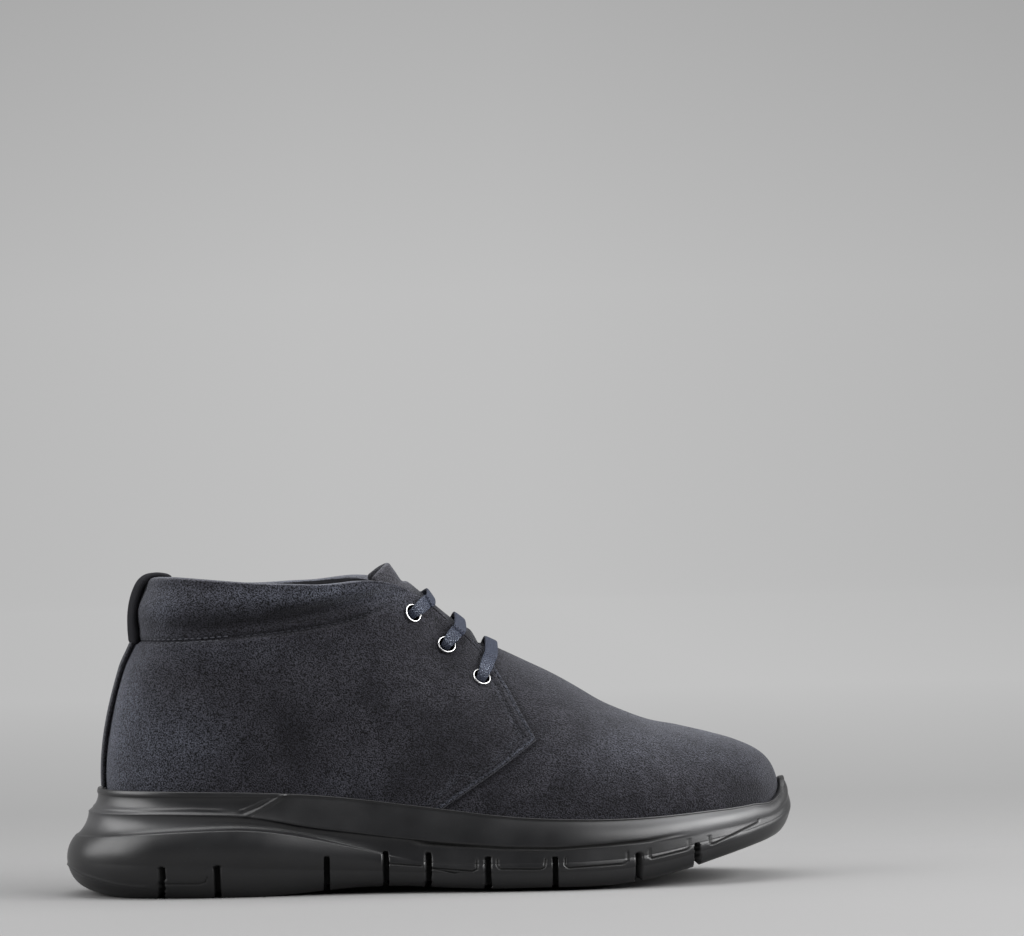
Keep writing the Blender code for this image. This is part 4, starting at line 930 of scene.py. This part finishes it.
def sole_stations(side, count):
    """s of the columns round one side, evenly spread along the outline, with more at features."""
    s = np.linspace(0, 1, OUTLINE_SAMPLES)
    points = rim_point(side, s)
    run = run_along(points[:, :2])
    inside = (run > OUTLINE_ENDS) & (run < run[-1] - OUTLINE_ENDS)
    extra = [place + sign * (k - SLOT_WIDTH / 2) for place, _ in SLOTS
             for k in SLOT_SIDES for sign in (-1, 1)]
    if side == LATERAL:
        extra += [line[k][0] + off for line in ENGRAVED for k in (0, -1)
                  for off in (-0.6, -0.3, 0, 0.3, 0.6)]
    stations = np.sort(np.concatenate([np.interp(np.linspace(0, run[-1], count), run, s),
                                       np.interp(extra, points[inside, 0], s[inside])]))
    keep = np.diff(stations, prepend=-1) > LEAST_STATION
    keep[-1] = True
    return stations[keep]


def arc_rows(a, b, sag, count):
    """Rows from place a to b (each out, z), closer at both ends, on an arc that swells by sag."""
    (out_a, z_a), (out_b, z_b) = a, b
    run = np.hypot(out_b - out_a, z_b - z_a)
    rows = []
    for even in np.linspace(0, 1, count + 1)[:-1]:
        share = even + CORNER_PULL * (0.5 - 0.5 * math.cos(math.pi * even) - even)
        swell = 4 * share * (1 - share) * sag / run
        rows.append(beside(out_a + (out_b - out_a) * share + swell * (z_b - z_a),
                           z_a + (z_b - z_a) * share - swell * (out_b - out_a)))
    return rows


def sole_profile(foot_x, tread_z):
    """Profile rows (out, z) from the tread's edge up to the rim, for every column."""
    (tread_out, wall_z, wall_out, pod_z, pod_out, ledge, hollow, band_z, band_in, band_out,
     band_sag, lip, rim_out, rim_z) = smooth_rows(SOLE_SECTIONS, foot_x).T
    lip_z = rim_z - lip
    corners = (
        ((tread_out, tread_z), WALL_SWELL * (wall_out - tread_out), 34),
        ((wall_out, wall_z), POD_SWELL * (pod_z - wall_z), 26),
        ((pod_out, pod_z), 0, 3),
        ((pod_out - ledge, pod_z + LEDGE_HEIGHT), hollow, 12),
        ((band_in, band_z - LEDGE_HEIGHT), 0, 4),
        ((band_out, band_z + LEDGE_HEIGHT), band_sag, 20),
        ((rim_out, lip_z), 0, 2),
        ((rim_out + LIP_PROUD, lip_z + LEDGE_HEIGHT), RIM_SWELL, 5),
        ((rim_out, rim_z), 0, 0),
    )
    rows = [row for (a, sag, count), (b, _, _) in zip(corners, corners[1:])
            for row in arc_rows(a, b, sag, count)]
    rows = np.array(rows + [beside(rim_out, rim_z)])
    for _ in range(2):                      # rounds the corners of the steps
        rows[1:-1] = evened(rows)
    return rows


def sole_relief(x, z):
    """How far the moulded lines stand out of the sole's side, and how much painted shade the sunk ones
    get.
    """
    out, sunk = np.zeros(np.shape(x)), np.zeros(np.shape(x))
    for line in ENGRAVED:
        distance, _ = line_distance(x, z, line)
        out -= ENGRAVED_DEPTH * bump(distance / ENGRAVED_HALF)
        sunk = np.maximum(sunk, bump(distance / (1.1 * ENGRAVED_HALF)))
    distance, along = line_distance(x, z, BAND_LINE)
    ends = window(along, *BAND_ENDS)
    out -= BAND_DEPTH * bump(distance / BAND_HALF) * ends
    sunk = np.maximum(sunk, np.minimum(BAND_SHADE * bump(distance / (1.1 * BAND_HALF)), 1) * ends)
    for line, height, half in LOW_RIDGES:
        distance, along = line_distance(x, z, line)
        out += height * bump(distance / half) * (1 - rise_between(along, 0.9, 1.0))
    for line, height, half in HIGH_RIDGES:
        distance, along = line_distance(x, z, line)
        ends = rise_between(along, 0, 0.2) * (1 - 0.4 * rise_between(along, 0.85, 1.0))
        out += height * bump(distance / half) * ends
    return out, sunk


def in_slots(x, z):
    """1 inside a slot of the sole's side, 0 outside, with a narrow wall between."""
    inside = np.zeros(np.shape(x))
    half = SLOT_WIDTH / 2
    for place, top in SLOTS:
        distance = np.hypot(np.abs(x - place), np.maximum(z - (top - half), 0)) - half
        inside = np.maximum(inside, 1 - rise_between(distance, *SLOT_FADE))
    return inside


def sole_side(side, count):
    """The grid of one side, and by name how much painted shade (where sunk) and painted highlight each
    of its points gets.
    """
    s = sole_stations(side, count)
    loop = rim_point(side, s)
    foot_x = upper_point(side, s, 0.0)[:, 0]
    normal = level_normal(side, change(lambda s: rim_point(side, s), s, RIM_STEP))
    normal[0], normal[-1] = (-1, 0, 0), (1, 0, 0)
    tread_x = loop[:, 0] + normal[:, 0] * smooth_rows(SOLE_SECTIONS, foot_x)[:, 0]
    rows = sole_profile(foot_x, floor_height(tread_x) + edge_lift(tread_x))
    x, z = loop[:, 0] + normal[:, 0] * rows[..., 0], rows[..., 1]
    slot = in_slots(x, z)
    relief, sunk = sole_relief(x, z)
    points = loop + normal * (rows[..., 0] + relief - SLOT_SHOWN_DEPTH * slot)[..., None]
    points[..., 2] = np.where(slot > 0.5, np.maximum(z, floor_height(x) + GROOVE_DEPTH), z)
    inner = []                              # down into the gap beside the upper
    top_out, top_z = rows[-1].T
    for share, drop in RIM_INSIDE:
        row = loop + normal * (top_out + (CLEARANCE - top_out) * share)[:, None]
        row[:, 2] = top_z - drop
        inner.append(row)
    below = np.zeros((len(inner), len(s)))
    sunk = np.vstack([np.maximum(sunk, slot), below])
    painted_highlight = np.vstack([np.clip(blobs(x, z, PAINTED_HIGHLIGHT), 0, 1), below])
    return np.vstack([points, np.array(inner)]), {"sunk": sunk, "painted_highlight": painted_highlight}


def make_sole():
    sides, shades = {}, []
    for side, count in ((LATERAL, OUTER_STATIONS), (MEDIAL, INNER_STATIONS)):
        sides[side], shade = sole_side(side, count)
        shades.append(shade)
    meet(sides, np.s_[:, [0, -1]])
    values = {key: np.concatenate([shade[key].ravel() for shade in shades]) for key in shades[0]}
    obj = grid_object("moulded_sole", sides.values(), RUBBER, "black_foam_rubber", merge=True,
                      values=values)
    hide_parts("sole")
    make_tread([grid[0] for grid in sides.values()])


def make_tread(rings):
    """The ground side: grooves that join the slots, and shallow ribs between them."""
    half = SLOT_WIDTH / 2
    stations = [np.linspace(rings[0][0, 0], rings[0][-1, 0], TREAD_STATIONS)]
    stations += [np.array([place - half - 0.05, place - half + 0.1, place + half - 0.1,
                           place + half + 0.05]) for place, _ in SLOTS]
    x = np.unique(np.concatenate(stations).round(3))[:, None]
    edges = []
    for ring in rings:
        ring = ring[np.argsort(ring[:, 0])]
        edges.append(np.interp(x, ring[:, 0], ring[:, 1]))
    across = np.linspace(0, 1, TREAD_COLUMNS)
    y = edges[0] + (edges[1] - edges[0]) * across
    groove = np.max([1 - rise_between(np.abs(x - place), half - 0.1, half + 0.06)
                     for place, _ in SLOTS], axis=0)
    inset = bump((across - 0.5) / 0.5) > 0.03
    rib = 0.5 * (1 + np.sin(2 * np.pi * (x + RIB_SLANT * y) / RIB_PITCH))
    floor, lift = floor_height(x), edge_lift(x)
    z = floor + np.where(inset, RIB_HEIGHT * rise_between(rib, 0.75, 0.9), 0)
    z = np.maximum(z, groove * (floor + GROOVE_DEPTH))
    z += lift * rise_between(np.abs(2 * across - 1), 0.55, 1.0) * (1 - groove)
    z[:, [0, -1]] = floor + np.maximum(groove * GROOVE_DEPTH, lift)
    grid_object("tread", [beside(np.broadcast_to(x, y.shape), y, z)], RUBBER, "black_foam_rubber")


# ---------------------------------------------------------------- padded and flat pieces
EDGE_TURNS, END_TURNS = np.radians([22, 45, 67, 90, 113, 135, 158]), np.radians([88, 65, 42, 20])
TONGUE_ROWS, TONGUE_COLUMNS = 90, 61
TONGUE_BRIDGE, TONGUE_TIP_ROWS = (0.25, 0.5, 0.75), (0.35, 0.7, 1.0)
TONGUE_TIP_ROUND = 2.4
DIP_TO_ONE = 27 / 4                          # f * (1 - f)**2 times this peaks at 1
TONGUE_THINS = (0, 0.8, 1), (1, 1, 0.85)     # share of its length, and of its thickness there
TONGUE_SHADE = 143, 148                      # X between which it sinks into the shade, from its tip
STRIP_ROWS, STRIP_COLUMNS = 70, 15
TAB_ROWS, TAB_COLUMNS = 70, 13
FOOTBED_ROWS, FOOTBED_COLUMNS = 25, 160


def thick_sheet(name, rows, thickness, look, slot, values=None):
    """A closed sheet from rows of points on its outer face, with round edges; values by row."""
    rows = np.asarray(rows, float)
    half = np.broadcast_to(np.asarray(thickness, float) / 2, len(rows))
    normal = unit(np.cross(np.gradient(rows, axis=1), np.gradient(rows, axis=0)))
    middle = rows - normal * half[:, None, None]
    left, right = unit(rows[:, 0] - rows[:, 1]), unit(rows[:, -1] - rows[:, -2])
    start, end = unit(rows[0] - rows[1]), unit(rows[-1] - rows[-2])
    cosine, sine = np.cos(EDGE_TURNS)[:, None], np.sin(EDGE_TURNS)[:, None]

    def ring(k, shift=0.0, share=1.0):
        """Round row k, moved by shift: outer face, round edge, inner face, round edge."""
        h = half[k] * share
        mid, lift = middle[k] + shift, normal[k] * h
        return np.vstack([mid + lift, mid[-1] + lift[-1] * cosine + right[k] * h * sine,
                          (mid - lift)[::-1], mid[0] - lift[0] * cosine + left[k] * h * sine])

    rings = [ring(0, start * half[0] * math.sin(a), math.cos(a)) for a in END_TURNS]
    rings += [ring(k) for k in range(len(rows))]
    rings += [ring(-1, end * half[-1] * math.sin(a), math.cos(a)) for a in END_TURNS[::-1]]
    rings = np.array(rings)
    uv = beside(*np.meshgrid(run_along(rings[:, 0]), run_along(rings[len(rings) // 2]),
                             indexing="ij"))
    values = {key: np.repeat(np.pad(along, len(END_TURNS), mode="edge"), rings.shape[1])
              for key, along in (values or {}).items()}
    return grid_object(name, [rings], look, slot, True, values=values, uv=uv.reshape(-1, 2))


def resample(rows, down, across):
    """A finer grid on the smooth surface through a coarse one."""
    for count in (down, across):
        rows = np.asarray(rows, float)
        finer = open_spline(rows.reshape(len(rows), -1), count)
        rows = finer.reshape(count, rows.shape[1], 3).transpose(1, 0, 2)
    return rows


def make_tongue():
    covered = np.linspace(TONGUE_COVERED, 1, 4)
    rows = []
    for s, lift in zip(np.linspace(TONGUE_FOOT, TONGUE_FREE, 8), TONGUE_LIFT):
        lateral, medial = (inner_wall(side, s, covered) - upper_normal(side, s, covered) * LOOSE_FIT
                           for side in SIDES)
        gap = np.linalg.norm(medial[-1] - lateral[-1])
        start = lateral[-1] + unit(lateral[-1] - lateral[-2]) * gap * TONGUE_CROWN
        end = medial[-1] + unit(medial[-1] - medial[-2]) * gap * TONGUE_CROWN
        arch = [bezier(f, lateral[-1], start, end, medial[-1]) + (0, 0, lift * 4 * f * (1 - f))
                for f in TONGUE_BRIDGE]
        rows.append(np.vstack([lateral, arch, medial[::-1]]))
    across = np.linspace(-1, 1, len(rows[0]))
    tip = beside(TONGUE_TIP[0] - TONGUE_SWEEP * across**2,
                 TONGUE_TIP[1] + TONGUE_TIP_HALF * across,
                 TONGUE_TIP[2] - TONGUE_SHOULDER * np.abs(across)**TONGUE_TIP_ROUND)
    last = rows[-1]
    for f in TONGUE_TIP_ROWS:
        dip = TONGUE_DIP * DIP_TO_ONE * f * (1 - f)**2
        rows.append(last * (1 - f) + tip * f - (0, 0, dip))
    grid = resample(rows, TONGUE_ROWS, TONGUE_COLUMNS)
    thickness = TONGUE_THICKNESS * np.interp(np.linspace(0, 1, TONGUE_ROWS), *TONGUE_THINS)
    # painted shade over the covered part, under the facings and laces
    obj = thick_sheet("padded_tongue", grid, thickness, TONGUE_SUEDE, "tongue_suede",
                      {"sunk": rise_between(grid[:, TONGUE_COLUMNS // 2, 0], *TONGUE_SHADE)})
    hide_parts("tongue")


def strip_point(y, t, lift):
    """The point at y over the heel seam, lifted off the quarter."""
    side = MEDIAL if y > 0 else LATERAL
    s = solved(*STRIP_BETWEEN, lambda s: np.abs(upper_point(side, s, t)[1]) < abs(y))
    base = upper_point(side, s, t)
    return base + upper_normal(side, s, t) * (QUARTER_STEP + collar_relief(base, s) + lift)


def make_back_strip():
    across = np.linspace(0.5, -0.5, STRIP_COLUMNS) * STRIP_WIDTH
    rows = [[strip_point(y, t, LOOSE_FIT + STRAP_THICKNESS) for y in across]
            for t in np.linspace(STRIP_START, STRIP_END, STRIP_ROWS)]
    obj = thick_sheet("back_seam_strip", rows, STRAP_THICKNESS + LOOSE_FIT, STRIP_SUEDE,
                      "back_strip_suede")
    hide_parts("back_strip")


def make_pull_tab():
    line = open_spline(PULL_TAB, TAB_ROWS)
    across = np.linspace(0.5, -0.5, TAB_COLUMNS) * TAB_WIDTH
    rows = [[(x + TAB_BEND * y * y, y, z) for y in across] for x, z in line]
    fullness = np.interp(np.linspace(0, 1, TAB_ROWS), np.linspace(0, 1, len(PULL_TAB)),
                         TAB_FULLNESS)
    foot = TAB_FOOT * (1 - rise_between(line[:, 1], *TAB_FOOT_ENDS))
    obj = thick_sheet("woven_pull_tab", rows, TAB_THICKNESS * fullness + TAB_PILE + foot, TAPE,
                      "woven_tape")
    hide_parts("pull_tab")


def make_insole():
    s = np.linspace(0, 1, FOOTBED_COLUMNS)
    halves = {side: inner_wall(side, s, 0) - foot_normal(side, s) * INSOLE_INSET for side in SIDES}
    meet(halves, [0, -1])
    share = np.linspace(0, 1, FOOTBED_ROWS)[:, None, None]
    grid = halves[LATERAL] * (1 - share) + halves[MEDIAL] * share
    edge = np.abs(2 * share[..., 0] - 1)
    grid[..., 2] += INSOLE_THICKNESS - INSOLE_DISH * (1 - edge)
    low = grid[[0, -1]] - (0, 0, INSOLE_THICKNESS)
    grid = np.vstack([low[:1], grid, low[1:]])
    obj = grid_object("footbed", [grid], FOOTBED, "insole_textile", uv=grid[..., :2].reshape(-1, 2))
    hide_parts("insole")


# ---------------------------------------------------------------- eyelets, laces, stitches
RING_LIP = 0.26
RING_TURNS = turns(48)
# The lace on each side: share of the way from eyelet to edge, height, width, thickness, painted glint
# and painted shade.
LACE_WAY = (
    (-0.32, -4.6, 4.0, 1.5, 0.0, 1.0), (-0.22, -2.2, 3.9, 1.7, 0.0, 1.0),
    (-0.10, 0.9, 4.0, 1.8, 0.1, 0.8), (0.08, 2.8, 4.7, 1.6, 0.9, 0.25),
    (0.34, 3.5, 5.6, 1.35, 0.7, 0.0), (0.66, 3.6, 5.8, 1.3, 0.1, 0.0),
    (0.97, 3.6, 5.8, 1.3, 0.0, 0.0),
)
LACE_SINK = 0.6                              # how much lower it lies than the part's plain bar
LACE_ROWS, LACE_SIDES, LACE_ROUNDNESS = 130, 20, 0.55
STITCH_PITCH, STITCH_START, STITCH_SAG, STITCH_ROUND = 2.8, 0.6, 0.35, 0.6
SEAM_SEARCH = (0, 0.42, 160), (0.55, 0.95, 300)            # s and t: from, to, count
SEAM_LIFT, EDGE_LINE_LIFT, EDGE_LINE = 0.12, 0.05, (0.06, 0.985, 170)
STITCH_RING, STITCH_STATIONS = turns(8), np.radians(np.linspace(-90, 90, 7))
COLLAR_STITCHES = ((-0.6, 22, 70), (0.9, 22, 66))          # drop below the seam, first and last X


def make_eyelets():
    """Rolled rings: a round lip outside, a funnel into the hole, and the barrel."""
    rise = EYELET_SEAT + EYELET_RISE
    crest = EYELET_FLANGE - 0.15 - RING_LIP
    lip = [(crest + RING_LIP * math.cos(a), rise - RING_LIP + RING_LIP * math.sin(a))
           for a in np.radians(np.linspace(0, 165, 11))]
    inside = [(3.1, rise - 0.6), (2.9, rise - 1.2), (EYELET_HOLE + 0.2, rise - 1.9),
              (EYELET_HOLE, -EYELET_DEPTH), (EYELET_BARREL, -EYELET_DEPTH)]
    profile = [(EYELET_FLANGE - 0.25, 0.0)] + lip + inside
    # painted shade inside the funnel and the barrel
    sunk = np.repeat([0.0] * (len(lip) + 1) + [1.0] * len(inside), len(RING_TURNS))
    rings = np.array([[(r * math.cos(a), r * math.sin(a), z) for a in RING_TURNS]
                      for r, z in profile])
    for side, word in ((LATERAL, "lateral"), (MEDIAL, "medial")):
        for number, (place, normal) in enumerate(EYELETS[side], 1):
            turn = np.array(Vector(normal).to_track_quat("Z", "Y").to_matrix())
            obj = grid_object(f"ring_{word}_{number}", [rings @ turn.T + place], NICKEL, "nickel",
                              closed=True, values={"sunk": sunk})
            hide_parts(f"eyelet_{word}_{number}")


def flat_cord(name, path, across, widths, thickness, look, slot, values):
    """A flat braid swept along a path; across points over its width at each place."""
    tangent = unit(np.gradient(path, axis=0))
    across = unit(across - tangent * np.sum(across * tangent, axis=1, keepdims=True))
    shape = beside(np.cos(turns(LACE_SIDES)), np.sin(turns(LACE_SIDES)))
    shape = np.sign(shape) * np.abs(shape)**LACE_ROUNDNESS
    wide = across * widths[:, None] / 2
    high = np.cross(across, tangent) * thickness[:, None] / 2
    rings = path[:, None] + wide[:, None] * shape[:, :1] + high[:, None] * shape[:, 1:]
    first, last = (np.tile(path[end], (1, LACE_SIDES, 1)) for end in (0, -1))
    rings = np.concatenate([first, rings, last])
    run = np.pad(run_along(path), 1, mode="edge")
    uv = beside(np.repeat(run, LACE_SIDES), np.tile(shape[:, 0] * LACE_WIDTH / 2, len(run)))
    values = {key: np.repeat(np.pad(along, 1), LACE_SIDES) for key, along in values.items()}
    return grid_object(name, [rings], look, slot, True, values=values, uv=uv)


def make_laces():
    """The lace: it comes up through each hole, lies over the facing and crosses the throat."""
    table = np.array(LACE_WAY)
    way, height, forms = table[:, 0], table[:, 1] + QUARTER_STEP - LACE_SINK, table[:, 2:]
    forms = np.vstack([forms, (LACE_WIDTH, LACE_THICKNESS, 0, 0), forms[::-1]])
    for number, (eyelet_x, eyelet_z, edge_x, edge_z, crest_x, crest_z) in enumerate(LACES, 1):
        s, t = np.array([section_at(eyelet_x + f * (edge_x - eyelet_x),
                                    eyelet_z + f * (edge_z - eyelet_z)) for f in way]).T
        halves = []
        for side in SIDES:
            normal, surface = upper_normal(side, s, t), upper_point(side, s, t)
            across = unit(np.cross(normal, unit(surface[-1] - surface[0]))) * side
            halves.append(np.hstack([surface + normal * height[:, None], across]))
        left, right = halves
        crest = (left[-1] + right[-1]) / 2
        crest[[0, 2]] = crest_x, crest_z
        crest[3:] = unit(crest[3:])
        rows = np.hstack([np.vstack([left, crest, right[::-1]]), forms])
        rows = open_spline(rows, LACE_ROWS)
        painted_glint, sunk = np.clip(rows[:, 8:10], 0, 1).T
        obj = flat_cord(f"lace_{number}", rows[:, :3], rows[:, 3:6], rows[:, 6], rows[:, 7], WAXED,
                        "waxed_lace", {"painted_glint": painted_glint, "sunk": sunk})
        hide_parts(f"lace_bar_{number}")


def stitches(name, lines, look=SOFT_THREAD, length=1.9, radius=0.28):
    """Short thread stitches along each line of (points, normals), sunk half into the suede."""
    grids = []
    slim = np.cos(STITCH_STATIONS)
    slim = np.where(slim > 1e-6, slim, 0)**STITCH_ROUND
    for line, normals in lines:
        run = run_along(line)
        for start in np.arange(STITCH_START, run[-1] - length, STITCH_PITCH):
            first, last, normal = (np.array([np.interp(place, run, values[:, k]) for k in range(3)])
                                   for values, place in ((line, start), (line, start + length),
                                                         (normals, start)))
            along = unit(last - first)
            aside = unit(np.cross(normal, along))
            lift = unit(np.cross(along, aside))
            spoke = np.cos(STITCH_RING)[:, None] * aside + np.sin(STITCH_RING)[:, None] * lift
            grids.append(np.array([(first + last) / 2 + along * math.sin(a) * length / 2
                                   - lift * STITCH_SAG * radius * math.sin(a)**2 + spoke * radius * r
                                   for a, r in zip(STITCH_STATIONS, slim)]))
    grid_object(name, grids, look, "slate_suede", closed=True)


def surface_line(side, s, t, extra):
    """Points and normals of a line over the suede, at s and t."""
    base = upper_point(side, s, t)
    normal = upper_normal(side, s, t)
    return base + normal * (QUARTER_STEP + wall_relief(base, s) + extra)[:, None], normal


def seam_line(side, drop, first_x, last_x):
    """The collar seam, lowered by drop."""
    found = []
    all_s, t = (np.linspace(*search) for search in SEAM_SEARCH)
    for s in all_s:
        x, _, z = upper_point(side, s, t).T
        k = np.argmin(np.abs(z - smooth_rows(COLLAR_SEAM, x)[:, 0] + drop))
        if first_x <= x[k] <= last_x:
            found.append((s, t[k]))
    s, t = np.array(found).T
    t = np.convolve(np.pad(t, 2, mode="edge"), np.ones(5) / 5, mode="valid")
    return surface_line(side, s, t, SEAM_LIFT)


def edge_line(side, distance):
    """A line that runs a given distance off the quarter's front edge."""
    t = np.linspace(*EDGE_LINE)
    edge, per_mm = edge_scale(side, t)
    return surface_line(side, edge + distance * per_mm, t, EDGE_LINE_LIFT)


def make_stitches():
    stitches("collar_stitches", [seam_line(side, *row) for side in SIDES for row in COLLAR_STITCHES],
             THREAD, radius=0.36)
    stitches("front_collar_stitches", [seam_line(side, 0, 71, 133) for side in SIDES])
    stitches("quarter_stitches", [edge_line(side, row[0]) for side in SIDES for row in SEAM_ROWS],
             length=1.7)


# ---------------------------------------------------------------- build every piece
GRIDS, ROLLS = rim_and_outside()
make_suede_upper(GRIDS, ROLLS)
make_lining(ROLLS)
for make in (make_sole, make_tongue, make_back_strip, make_pull_tab, make_insole, make_eyelets,
             make_laces, make_stitches):
    make()


# ---------------------------------------------------------------- floor, light and camera
PAPER = (0.205, 0.204, 0.204)
HORIZON_NEAR, HORIZON_FAR = 0.12, 0.5                       # Y where the floor turns into glow
HORIZON_GLOW, WALL_GLOW, WALL_GLOW_FULL = (0.415, 0.415, 0.415), (0.52, 0.52, 0.52), 1.6
WALL_PLACE, WALL_HEIGHT, WALL_BEND, ROOM_HALF = 3.8, 4.0, 0.5, 6.0
# Name, place, target, width, height and power.
LIGHTS = (
    ("left_window", (-1.7, -0.25, 0.85), (0, 0, 0.06), 1.8, 1.5, 44),
    ("right_window", (1.7, -0.1, 0.9), (0, 0, 0.06), 1.6, 1.5, 29),
    ("overhead", (0.0, 0.15, 2.0), (0, 0.05, 0), 2.6, 1.6, 54),
    ("right_softbox", (1.2, -0.81, 0.9), (0.1, 0, 0.04), 1.4, 0.9, 35),
)
SKY, SKY_STRENGTH = (0.8, 0.82, 0.86, 1), 0.14
# The view: its size, the millimetres to each unit of that size, and where in it the target lies.
VIEW_WIDTH, VIEW_HEIGHT, MM_PER_UNIT = 1024, 936, 0.419
CAMERA_DISTANCE, CAMERA_TARGET, TARGET_SHOWN_AT = 2600.0, (151.5, 0, 65.0), (429.0, 729.0)
CAMERA_TURN, CAMERA_TILT, CAMERA_ROLL = (math.radians(a) for a in (-3.5, 3.2, 1.25))
SENSOR_WIDTH = 36


def backdrop():
    """A pale floor, and behind it a far wall. From a little behind the shoe both glow with painted
    light, dimmer at the horizon, toward the sides and higher up.
    """
    look = Look("studio_paper", (0.5, 0.5, 0.5), 0.9, specular=0.1)
    x, y, z = look.split(look.place)
    far = look.span(y, HORIZON_NEAR, HORIZON_FAR)
    deep = look.span(y, HORIZON_FAR, WALL_GLOW_FULL)
    edge = look.span(look.math("ABSOLUTE", look.math("SUBTRACT", x, 0.22)), 0.1, 0.8, 1.0, 0.86)
    high = look.span(z, 0.30, 0.62, 1.0, 0.82)
    look.put("Base Color", look.mix(far, PAPER, (0.0, 0.0, 0.0)))
    look.put("Emission Color", look.mix(deep, HORIZON_GLOW, WALL_GLOW))
    look.put("Emission Strength", look.times(look.times(edge, high), far))
    bend = WALL_PLACE - WALL_BEND
    profile = [(-ROOM_HALF, 0.0), (HORIZON_NEAR, 0.0), (HORIZON_FAR, 0.0), (bend, 0.0)]
    profile += [(bend + WALL_BEND * math.sin(a), WALL_BEND - WALL_BEND * math.cos(a))
                for a in np.radians(np.linspace(6, 90, 16))]
    profile += [(WALL_PLACE, WALL_HEIGHT)]
    grid = np.array([[(x, y, z) for x in (-ROOM_HALF, ROOM_HALF)] for y, z in profile])
    obj = grid_object("backdrop", [grid / MM + TABLE_ORIGIN], look.material)


def area_light(name, place, target, width, height, power):
    light = bpy.data.lights.new(name, "AREA")
    light.shape = "RECTANGLE"
    light.size, light.size_y = width, height
    light.energy = power
    obj = add_object(name, light)
    obj.location = place
    obj.rotation_mode = "QUATERNION"
    obj.rotation_quaternion = (Vector(target) - Vector(place)).to_track_quat("-Z", "Y")


def set_camera():
    """A long lens from the outer side, a little behind and above, rolled as the view is."""
    turn, tilt, roll = CAMERA_TURN, CAMERA_TILT, CAMERA_ROLL
    back = np.array([math.sin(turn) * math.cos(tilt), -math.cos(turn) * math.cos(tilt),
                     math.sin(tilt)])
    focal = CAMERA_DISTANCE / MM_PER_UNIT
    level = unit(np.cross(-back, (0, 0, 1.0)))
    upright = np.cross(level, -back)
    right = math.cos(roll) * level - math.sin(roll) * upright
    up = math.sin(roll) * level + math.cos(roll) * upright
    aside = (TARGET_SHOWN_AT[0] - VIEW_WIDTH / 2) / focal
    above = (VIEW_HEIGHT / 2 - TARGET_SHOWN_AT[1]) / focal
    forward = unit(-back - aside * right - above * up)
    right = unit(right - (right @ forward) * forward)
    camera = bpy.data.cameras.new("camera")
    camera.sensor_fit = "HORIZONTAL"
    camera.sensor_width = SENSOR_WIDTH
    camera.lens = focal * SENSOR_WIDTH / VIEW_WIDTH
    camera.clip_end = 100
    obj = add_object("camera", camera)
    pose = Matrix(beside(right, np.cross(right, forward), -forward).tolist()).to_4x4()
    pose.translation = Vector(placed(np.array(CAMERA_TARGET) + back * CAMERA_DISTANCE))
    obj.matrix_world = pose
    bpy.context.scene.camera = obj


backdrop()
for row in LIGHTS:
    area_light(*row)
world = bpy.data.worlds.new("studio")
bpy.context.scene.world = world
world.use_nodes = True
sky = world.node_tree.nodes["Background"].inputs
sky["Color"].default_value = SKY
sky["Strength"].default_value = SKY_STRENGTH
bpy.context.scene.view_settings.view_transform = "Standard"
set_camera()
